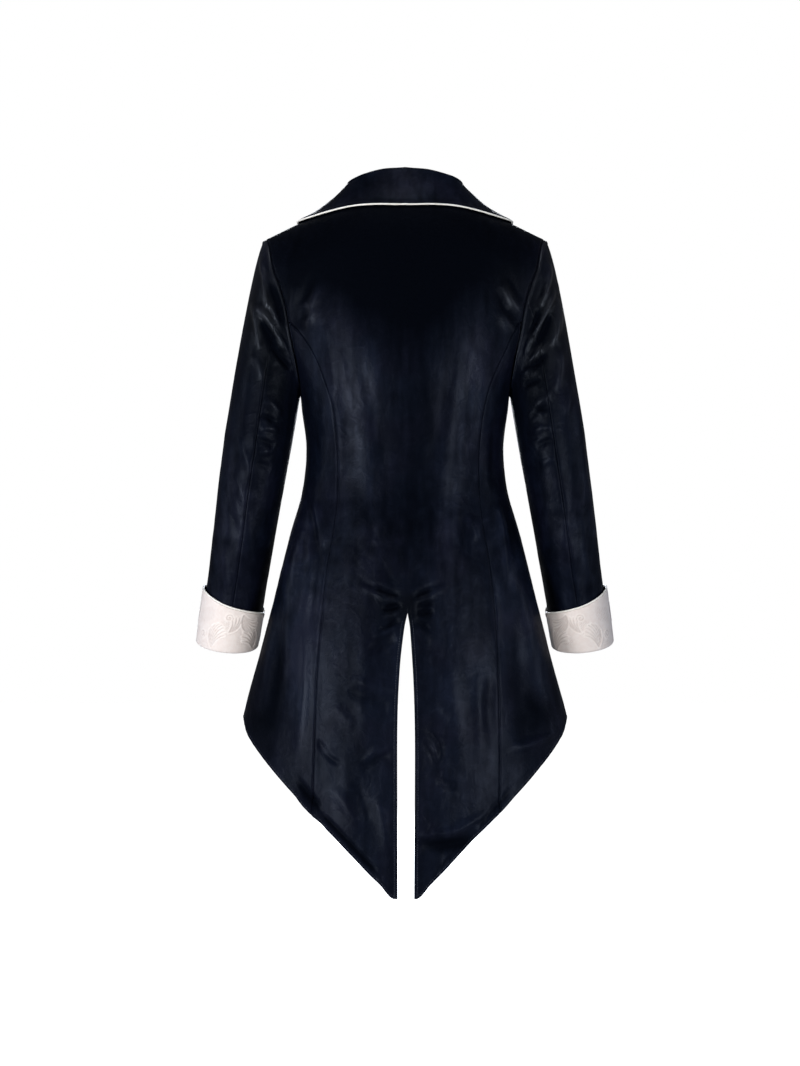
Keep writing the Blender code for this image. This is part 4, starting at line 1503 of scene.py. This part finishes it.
def buildSideBack(side):
    parts = spread(gridSteps["sideBack"], edgeParts)
    thetas, heights = panelPlan(seamTheta(side), sideTheta, parts, tailHem)
    keep = rowTurns <= bodyCut["seamTurn"]
    thetas, heights, turns = thetas[keep], heights[keep], rowTurns[keep]
    base, normals = bodyBase(thetas, heights), bodyNormal(thetas, heights)
    ways = normals.copy()
    ways[turns >= 0, -1] = armholeWays(turns[turns >= 0])[0]
    drawIn(base, "first")
    drawIn(base, "last", turns < 0)
    tip = base[-1].mean(axis=0)
    base[-1] = tip + unit(base[-8].mean(axis=0) - tip) * bodyCut["tipDraw"]
    ways[-1] = unit(ways[-1].mean(axis=0))
    normals[-1] = ways[-1]
    raised, folds = bodyRaised(base, side, thetas)
    raised = raised + curled(base, side)
    sideAway, atArmhole = edgeAway(base, "last"), (turns >= 0)[:, None]
    finish = seamShape(edgeAway(base, "first")) + seamShape(sideAway) + hemShape(base, "foot")
    finish = finish - atArmhole * armholeDrop(sideAway)
    finish[-1] = finish[-1].mean()
    raised[-1] = raised[-1].mean()
    outside, inside = bodyWall(base, normals, ways, raised, finish)
    nap, polish = backPileShadeAndPolish(base, side, folds)
    masks = {"nap": [nap], "polish": [polish + atArmhole * armholePolish(sideAway)]}
    flip, node = np.array([side, 1, 1]), f"side_back_{sideNames[side]}"
    piece = addCloth(f"{node}_cloth", [(outside * flip, inside * flip)], masks=masks)
    finishPiece(piece, node, flatCuts["side_back"])
    return [stitchPath(outside * flip, normals * flip, "foot")]


def buildFront(side):
    parts = spread(gridSteps["front"], edgeParts)
    thetas, heights = panelPlan(frontSideTheta, frontEdgeTheta, parts, cutawayHem)
    base, normals = bodyBase(thetas, heights), bodyNormal(thetas, heights)
    ways = normals.copy()
    late = rowTurns >= 0
    ways[late, 0] = armholeWays((360 - rowTurns[late]) % 360)[0]
    drawIn(base, "first", rowTurns < 0)
    drawIn(base, "top")
    raised, folds = bodyRaised(base, side, thetas)
    finish = seamShape(edgeAway(base, "first")) + hemShape(base, "foot")
    finish = finish - rollDrop(edgeAway(base, "last")) - rollDrop(edgeAway(base, "top"))
    outside, inside = bodyWall(base, normals, ways, raised, finish)
    flip, node = np.array([side, 1, 1]), f"front_{sideNames[side]}"
    # the front's pile tone with painted shade in its troughs and painted highlight on its ridges
    nap = brushed(napBase + foldShade(folds), base * flip)
    piece = addCloth(f"{node}_cloth", [(outside * flip, inside * flip)], masks={"nap": [nap]})
    finishPiece(piece, node, flatCuts["front"])
    return [stitchPath(outside * flip, normals * flip, "foot")]


# Topstitching along the slit and the hems
stitchCut = {
    "in": 5.0,
    "pitch": 3.4,
    "rings": ((-1.25, 0.07), (-0.85, 0.26), (0.85, 0.26), (1.25, 0.07)),  # along the stitch, and radius
    "sides": 6,
    "sunk": 0.12,
    "columns": 24,
}


def between(at, run, line):
    # points of a line at given lengths along it
    return np.stack([np.interp(at, run, line[:, k]) for k in range(3)], axis=-1)


def stitchPath(points, normals, edge):
    # the line at a fixed distance in from one edge of a panel, with its normals
    inward, reach = stitchCut["in"], stitchCut["columns"]
    lines = points if edge == "first" else points.transpose(1, 0, 2)
    facing = normals if edge == "first" else normals.transpose(1, 0, 2)
    spots, ups = [], []
    for line, up in zip(lines[:, :reach], facing[:, :reach]):
        run = runAlong(line)
        if run[-1] > inward:
            spots.append(between(inward, run, line))
            ups.append(between(inward, run, up))
    return np.array(spots), unit(np.array(ups))


def addStitches(name, paths):
    sides, rings = stitchCut["sides"], len(stitchCut["rings"])
    angle = np.linspace(0, 2 * math.pi, sides, endpoint=False)
    points, faces = [], []
    for path, ups in paths:
        run = runAlong(path)
        at = np.arange(stitchCut["in"] + 1, run[-1] - stitchCut["in"], stitchCut["pitch"])
        centre, up = between(at, run, path), unit(between(at, run, ups))
        along = unit(between(at + 1, run, path) - centre)
        aside = unit(np.cross(along, up))
        centre = centre + up * stitchCut["sunk"]
        for spot, way, over, top in zip(centre, along, aside, up):
            start = len(points)
            for step, radius in stitchCut["rings"]:
                for c, s in zip(np.cos(angle), np.sin(angle)):
                    points.append(spot + way * step + (over * c + top * s) * radius)
            for i in range(rings - 1):
                for j in range(sides):
                    a, b = start + i * sides + j, start + i * sides + (j + 1) % sides
                    faces.append([a, b, b + sides, a + sides])
            faces.append([start + j for j in range(sides)][::-1])
            faces.append([start + (rings - 1) * sides + j for j in range(sides)])
    points = np.array(points)
    if volumeSign(points, faces) < 0:
        faces = [face[::-1] for face in faces]
    piece = addMesh(name, points, faces, [darkThread])
    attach(piece, "root")
    print(f"{name}: {len(faces)} faces")


print("building the body")
stitchLines = buildBack()
for build in (buildSideBack, buildFront):
    for side in sideNames:
        stitchLines += build(side)
addStitches("edge_stitches", stitchLines)
print("building the sleeves")
for side in sideNames:
    buildSleeve(side, "top_sleeve", 90, 270)
    buildSleeve(side, "under_sleeve", -90, 90)


# Collar

collarCut = {
    # part, out, back, up: how the roll lies from the neck seam
    "sections": (
        (0.0, 0, -11, 40.5),
        (0.12, -1, -8, 39),
        (0.24, 0, -4, 34),
        (0.36, 3, -2, 26),
        (0.46, 0, -6, 16),
        (0.6, 0, -9, 8),
        (1.0, 0, -8, 1),
    ),
    "side": 0.36,
    "end": -282.0,
    "edgeBack": -26.0,
    "edgeSide": 149.0,
    "edge": ((-290, 13), (-260, 42), (-200, 96), (-150, 134), (-100, 153), (-50, 156), (0, 149)),
    "wall": 2.6,
    "edgeRoll": 1.1,
    "lift": 2.6,
    "gap": 1.5,
    "rollRadius": 3.2,
    "fallDrop": 3.0,
    "backStations": 70,
    "frontStations": 110,
    "fallSteps": 34,
    "edgeParts": [0.025, 0.016, 0.009, 0.004, 0.0015],
    "cordRadius": 1.2,
    "cordGap": 0.2,
}
collarOut, collarBack, collarUp = (smoothCurve(collarCut["sections"], n) for n in (1, 2, 3))
collarEdge = smoothCurve(collarCut["edge"], 1)


# Patches of pile tone on the collar, partly painted light and shade: distance from the middle, height,
# half sizes and strength
collarNapAndShade = (
    (-20, 14, 44, 16, 0.30),
    (48, 22, 20, 12, -0.25),
    (-80, 10, 26, 14, -0.15),
    (110, -20, 22, 16, 0.15),
)


def collarSpots():
    # part of the way round, then direction and height of the neck seam and of the collar's edge
    cut, spots = collarCut, []
    neckTheta = float(thetaAt(bodyCut["neckSide"], 0.0))
    for part in np.arange(cut["backStations"]) / cut["backStations"]:
        theta = midBack + (neckTheta - midBack) * part
        edgeHeight = cut["edgeBack"] * (1 - part**1.6)
        edgeTheta = float(thetaAt(cut["edgeSide"] * part, edgeHeight))
        spots.append((part * cut["side"], theta, float(neckHeight(theta)), edgeTheta, edgeHeight))
    for part in np.linspace(0, 1, cut["frontStations"] + 1):
        height = cut["end"] * part * (0.4 + 0.6 * part)
        edgeHeight = height * 1.02
        theta = -float(thetaAt(frontAcross(height), height))
        edgeTheta = -float(thetaAt(collarEdge(edgeHeight), edgeHeight))
        spots.append((cut["side"] + part * (1 - cut["side"]), theta, height, edgeTheta, edgeHeight))
    return spots


def collarSection(part, neckTheta, height, edgeTheta, edgeHeight):
    away, wall = collarCut["lift"] + collarCut["wall"] / 2, bodyCut["wall"] / 2
    parts = np.linspace(0, 1, collarCut["fallSteps"] + 1)
    parts = np.concatenate([parts[:-1], 1 - np.array(collarCut["edgeParts"]), [1]])
    thetas = neckTheta + (edgeTheta - neckTheta) * parts
    heights = height + (edgeHeight - height) * parts
    lying = bodyBase(thetas, heights) + bodyNormal(thetas, heights) * away
    seam, normal = bodyBase(neckTheta, height), bodyNormal(neckTheta, height)
    outward = unit(lying[4] - lying[0])
    lift = np.array([collarOut(part), collarBack(part), collarUp(part)])
    upward = unit(lift)
    slant = math.sqrt(max(0, 1 - float(np.dot(upward, outward)) ** 2))
    base = seam - normal * wall - outward * (collarCut["gap"] + slant * collarCut["wall"] / 2)
    top = base + lift
    sideways = unit(outward - upward * np.dot(outward, upward))
    roll = min(collarCut["rollRadius"], 0.45 * np.linalg.norm(lift) + 0.4)
    centre = top - upward * roll + sideways * roll
    first = centre - sideways * roll
    section = [base + (first - base) * k / 8 for k in range(8)]
    for angle in np.radians(np.linspace(180, 0, 13)):
        section.append(centre + (sideways * math.cos(angle) + upward * math.sin(angle)) * roll)
    over = section[-1] - lying[0]
    section += [lying[k] + over * (1 - parts[k]) ** collarCut["fallDrop"] for k in range(1, len(parts))]
    return section


def buildCollar():
    half = np.array([collarSection(*spot) for spot in collarSpots()]).transpose(1, 0, 2)
    points = np.concatenate([half[:, :0:-1] * np.array([-1, 1, 1]), half], axis=1)
    normals = gridNormals(points)
    middle = points.shape[1] // 2
    if normals[-1, middle, 1] < 0:
        normals = -normals
    away = edgeAway(points[::-1], "foot")[::-1]
    hills = layered(points, "collar") * ease(away / 14)
    finish = 0.25 * hump(away, 4, 2.5) - rollDrop(away, collarCut["edgeRoll"])
    outside = points + normals * (collarCut["wall"] / 2 + hills * 0.6 + finish)[..., None]
    inside = points + normals * (-collarCut["wall"] / 2 + hills * 0.25)[..., None]
    nap = brushed(napBase + patches(collarNapAndShade, points[..., 0], points[..., 2]), points)
    piece = addCloth("collar_cloth", [(outside, inside)], insideMaterial=velvet, masks={"nap": [nap]})
    finishPiece(piece, "collar", flatCuts["collar"])
    edge = points[-1]
    aside = unit(np.cross(np.gradient(edge, axis=0), normals[-1]))
    if np.dot(aside[middle], edge[middle] - points[-6, middle]) < 0:
        aside = -aside
    path = edge + aside * (collarCut["cordRadius"] + collarCut["cordGap"])
    cord = addTube("collar_piping_cord", path, collarCut["cordRadius"], pipingSatin, sides=12, ripple=0.05)
    finishPiece(cord, "collar_piping")


print("building the collar")
buildCollar()


# Cuffs

cuffCut = {
    "wall": 2.4,
    "profile": (
        (-5.0, -3.2),
        (-3.0, -3.5),
        (-1.0, -3.4),
        (0.6, -3.1),
        (1.8, -2.5),
        (2.6, -1.5),
        (3.1, -0.3),
    ),
    # turn, height of the cuff, how far it stands off at the top
    "top": ((0, 46, 3.4), (90, 60, 4.0), (180, 75, 5.4), (270, 60, 4.0), (360, 46, 3.4)),
    "rows": 58,
    "turns": 250,
    "cordRadius": 1.2,
    "cordGap": 0.2,
    "relief": 0.62,
    "lastParts": [0.988, 0.995, 1.0],
    "edgeRoll": 0.9,
}
cuffTall, cuffStand = smoothCurve(cuffCut["top"], 1), smoothCurve(cuffCut["top"], 2)

# The woven figure: sprays of curved ribs, spirals and small leaves on a cuff laid flat, in millimetres
cuffFigure = {
    # x, y of the root, first and last direction in degrees, length, curl in degrees, number of ribs
    "sprays": (
        (128, 62, 262, 322, 38, 46, 8),
        (150, 4, 20, 62, 34, 62, 6),
        (176, 6, 70, 118, 40, -62, 8),
        (196, 66, 232, 286, 38, 66, 8),
        (214, 4, 96, 140, 30, 50, 6),
        (92, 4, 52, 104, 40, 60, 8),
        (70, 30, 120, 160, 28, -50, 5),
        (52, 58, 226, 282, 36, -60, 8),
        (26, 4, 58, 112, 38, -58, 7),
        (232, 6, 56, 110, 40, 62, 8),
        (256, 60, 236, 290, 36, -60, 7),
        (274, 8, 80, 120, 30, 50, 5),
    ),
    # x, y, radius, turns
    "spirals": (
        (152, 46, 6, 1.8),
        (72, 52, 6, 1.6),
        (112, 20, 6, 1.7),
        (212, 40, 6, 1.7),
        (8, 52, 6, 1.6),
        (166, 68, 4, 1.4),
    ),
    "lineWidth": 0.62,
    "besideAt": 1.7,
    "besideWidth": 0.9,
    "sunkShare": 0.7,
    "dotPitch": 3.4,
}


def figureLines():
    # the middle line of each rib and spiral, and how far along it each point is
    lines = []
    for x, y, fromWay, toWay, length, curl, ribs in cuffFigure["sprays"]:
        for k in range(ribs):
            part = k / (ribs - 1)
            way = math.radians(fromWay + (toWay - fromWay) * part)
            reach = length * (0.72 + 0.28 * math.sin(math.pi * part))
            steps = np.linspace(0, 1, 26)
            turned = way + math.radians(curl) * steps**1.4
            stride = reach / len(steps)
            along, up = np.cumsum(np.cos(turned)) * stride, np.cumsum(np.sin(turned)) * stride
            lines.append((np.stack([x + along, y + up], axis=1), steps))
    for x, y, radius, turns in cuffFigure["spirals"]:
        steps = np.linspace(0, 1, 40)
        angle = steps * turns * 2 * math.pi
        along, up = radius * steps * np.cos(angle), radius * steps * np.sin(angle)
        lines.append((np.stack([x + along, y + up], axis=1), steps))
    return lines


def figureMask(flat, girth):
    # how far each point of the cloth is a raised rib, and how far a sunk line or dot between ribs
    nearest = np.full(flat.shape[:-1], 99.0)
    wide = np.full(flat.shape[:-1], 1.0)
    for line, steps in figureLines():
        width = 0.6 + 0.7 * np.sin(math.pi * np.clip(steps * 0.9 + 0.05, 0, 1))
        for (x, y), share in zip(line, width):
            dx = (flat[..., 0] - x + girth / 2) % girth - girth / 2
            away = np.sqrt(dx**2 + (flat[..., 1] - y) ** 2)
            closer = away < nearest
            nearest[closer], wide[closer] = away[closer], share
    line = hump(nearest, 0, cuffFigure["lineWidth"] * wide)
    beside = hump(nearest, cuffFigure["besideAt"], cuffFigure["besideWidth"])
    pitch = 2 * math.pi / cuffFigure["dotPitch"]
    dots = np.sin(flat[..., 0] * pitch) * np.sin(flat[..., 1] * pitch)
    patch = np.sin(flat[..., 0] / 11.0 + 1.0) * np.sin(flat[..., 1] / 8.0 + flat[..., 0] / 23.0)
    grain = 0.8 * ease(dots * 1.4) * ease((patch - 0.05) * 3) * ease((nearest - 2) / 2)
    return beside * (1 - line), np.clip(line + grain, 0, 1)


def buildCuff(side):
    turns = np.linspace(0, 360, cuffCut["turns"] + 1)
    tall, stand = cuffTall(turns), cuffStand(turns)
    startOff = cuffCut["profile"][-1][0]
    rowParts = np.concatenate([np.linspace(0, 1, cuffCut["rows"] + 1)[1:-1], cuffCut["lastParts"]])
    points = []
    for off, up in cuffCut["profile"]:
        points.append(cuffSpot(turns, np.full(len(turns), off), np.full(len(turns), up)))
    for part in rowParts:
        points.append(cuffSpot(turns, startOff + (stand - startOff) * part, tall * part))
    points = np.array(points)
    normals = gridNormals(points, ring=True)
    if np.dot(normals[-1, 0], points[-1, 0] - points[-1, len(turns) // 2]) < 0:
        normals = -normals
    run, around = runUp(points), runAlong(points[20])
    flat = np.stack([np.broadcast_to(around, run.shape), run - 8], axis=-1)
    mask, groove = figureMask(flat, around[-1])
    mask[:, -1], groove[:, -1] = mask[:, 0], groove[:, 0]
    mirrored = points * np.array([side, 1, 1])
    away = edgeAway(points[::-1], "foot")[::-1]
    hills = layered(mirrored, "cuff") * ease(away / 8) * ease(run / 14)
    hills[:, -1] = hills[:, 0]
    relief = cuffCut["relief"] * (mask - groove * cuffFigure["sunkShare"]) * ease(run / 9)
    outside = points + normals * (hills + relief - rollDrop(away, cuffCut["edgeRoll"]))[..., None]
    inside = points + normals * (hills * 0.5 - cuffCut["wall"])[..., None]
    outside[:, -1], inside[:, -1] = outside[:, 0], inside[:, 0]
    flip = np.array([side, 1, 1])
    name = sideNames[side]
    # painted shade for the sunk lines and dots between the ribs
    sunk = groove * 0.75 * ease(run / 9)
    masks = {"figure": [mask], "sunk": [sunk], "nap": [np.full(mask.shape, 0.3)]}
    piece = addCloth(f"cuff_{name}_cloth", [(outside * flip, inside * flip)], velvet, jacquard, masks)
    finishPiece(piece, f"cuff_{name}", flatCuts["cuff"])
    edge = points[-1] - normals[-1] * cuffCut["wall"] / 2
    path = edge + unit(points[-1] - points[-4]) * (cuffCut["cordRadius"] + cuffCut["cordGap"])
    path = path[:-1] * flip
    cord = addTube(f"cuff_piping_{name}_cord", path, cuffCut["cordRadius"], pipingSatin, True, 12, 0.05)
    finishPiece(cord, f"cuff_piping_{name}")


def cuffSpot(turns, off, up):
    height = sleeveFoot + up - wristFall(turns)
    ring = sleeveRing(turns, height)
    return ring + unit(ring - sleeveAxis(height)[0]) * off[:, None]


print("building the cuffs")
for side in sideNames:
    buildCuff(side)


# Stage, lights and camera

stageLook = {
    "floor": -1.235,
    "size": 14.0,
    "tones": ((0.92, 0.92, 0.92), (0.93, 0.93, 0.93)),
    "roomColour": (0.95, 0.97, 1.0, 1),
    "roomLight": 0.14,
    "aim": (0, 0, -0.45),
}


def buildStage():
    mesh = bpy.data.meshes.new("paleFloor")
    half, level = stageLook["size"] / 2, stageLook["floor"]
    corners = [(-half, -half, level), (half, -half, level), (half, half, level), (-half, half, level)]
    mesh.from_pydata(corners, [], [[0, 1, 2, 3]])
    material, tree, shader = newMaterial("palePaper", **{"Roughness": 0.9, "Specular IOR Level": 0.1})
    place = addNode(tree, "TexCoord").outputs["Object"]
    grain = rangeNode(tree, noiseNode(tree, place, 3.0, 2.0), 0.3, 0.7)
    tree.links.new(mixColours(tree, grain, *stageLook["tones"]), shader.inputs["Base Color"])
    shader.inputs["Emission Color"].default_value = (1, 1, 1, 1)
    seen = addNode(tree, "LightPath").outputs["Is Camera Ray"]
    tree.links.new(mathNode(tree, "MULTIPLY", seen, 1.0), shader.inputs["Emission Strength"])
    mesh.materials.append(material)
    floor = bpy.data.objects.new("paleFloor", mesh)
    bpy.context.scene.collection.objects.link(floor)
    floor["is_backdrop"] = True


def aimAt(thing, spot):
    way = np.array(spot) - np.array(thing.location)
    thing.rotation_mode = "QUATERNION"
    thing.rotation_quaternion = Vector(way).to_track_quat("-Z", "Y")


lampTable = (
    # name, place, size, power, colour, what it shines on
    ("softboxLeft", (1.5, 2.15, -0.90), (0.5, 0.9), 50, (0.76, 0.85, 1.0), "velvet"),
    ("softboxRight", (-1.5, 2.15, -0.90), (0.5, 0.9), 38, (0.76, 0.85, 1.0), "velvet"),
    ("trimLeft", (1.5, 2.15, -0.80), (0.9, 0.9), 40, (1.0, 0.98, 0.97), "trim"),
    ("trimRight", (-1.5, 2.15, -0.80), (0.9, 0.9), 5, (1.0, 0.99, 0.97), "trim"),
    ("trimFront", (0.5, 3.1, -0.6), (0.6, 0.5), 46, (1.0, 0.97, 0.95), "trim"),
    ("softboxHighLeft", (1.4, 2.4, 0.55), (0.35, 0.35), 4.5, (0.76, 0.85, 1.0), "velvet"),
    ("softboxHighRight", (-1.4, 2.4, 0.55), (0.35, 0.35), 4.5, (0.76, 0.85, 1.0), "velvet"),
    ("softboxTop", (0.1, 0.6, 1.6), (0.9, 0.5), 6, (0.80, 0.87, 1.0), ""),
    ("softboxSideLeft", (2.4, 0.3, -0.2), (0.6, 1.4), 12, (0.72, 0.81, 1.0), ""),
    ("softboxSideRight", (-2.4, 0.3, -0.2), (0.6, 1.4), 9, (0.72, 0.81, 1.0), ""),
    ("softboxFront", (0.0, -2.8, 0.3), (1.3, 1.3), 60, (0.85, 0.90, 1.0), ""),
)


def buildLights():
    # the dark cloth and its pale trimming each have their own softboxes at the camera's side
    lit = {"velvet": bpy.data.collections.new("litVelvet"), "trim": bpy.data.collections.new("litTrim")}
    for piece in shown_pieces():
        pale = piece.name.startswith("cuff") or piece.name.endswith("cord")
        lit["trim" if pale else "velvet"].objects.link(piece)
    for name, place, size, power, colour, shinesOn in lampTable:
        lamp = bpy.data.lights.new(name, "AREA")
        lamp.shape = "RECTANGLE"
        lamp.size, lamp.size_y = size
        lamp.energy = power
        lamp.color = colour
        thing = bpy.data.objects.new(name, lamp)
        thing.location = place
        bpy.context.scene.collection.objects.link(thing)
        aimAt(thing, stageLook["aim"])
        if shinesOn:
            thing.light_linking.receiver_collection = lit[shinesOn]
    world = bpy.data.worlds.new("paleRoom")
    bpy.context.scene.world = world
    world.use_nodes = True
    tree = world.node_tree
    seen = tree.nodes["Background"]
    seen.inputs["Color"].default_value = (1, 1, 1, 1)
    seen.inputs["Strength"].default_value = 1.0
    dim = tree.nodes.new("ShaderNodeBackground")
    dim.inputs["Color"].default_value = stageLook["roomColour"]
    dim.inputs["Strength"].default_value = stageLook["roomLight"]
    mix = tree.nodes.new("ShaderNodeMixShader")
    path = tree.nodes.new("ShaderNodeLightPath")
    tree.links.new(path.outputs["Is Camera Ray"], mix.inputs[0])
    tree.links.new(dim.outputs[0], mix.inputs[1])
    tree.links.new(seen.outputs[0], mix.inputs[2])
    tree.links.new(mix.outputs[0], tree.nodes["World Output"].inputs["Surface"])


cameraLook = {"lens": 76.48, "sensor": 36.0, "place": (0.00707, 3.2, -0.4635)}


def buildCamera():
    eye = bpy.data.cameras.new("camera")
    eye.sensor_width = cameraLook["sensor"]
    eye.lens = cameraLook["lens"]
    thing = bpy.data.objects.new("camera", eye)
    thing.location = cameraLook["place"]
    thing.rotation_euler = (math.radians(90), 0, math.radians(180))
    bpy.context.scene.collection.objects.link(thing)
    bpy.context.scene.camera = thing


buildStage()
buildLights()
buildCamera()
bpy.context.scene.view_settings.view_transform = "Standard"
print("stage, lights and camera placed")
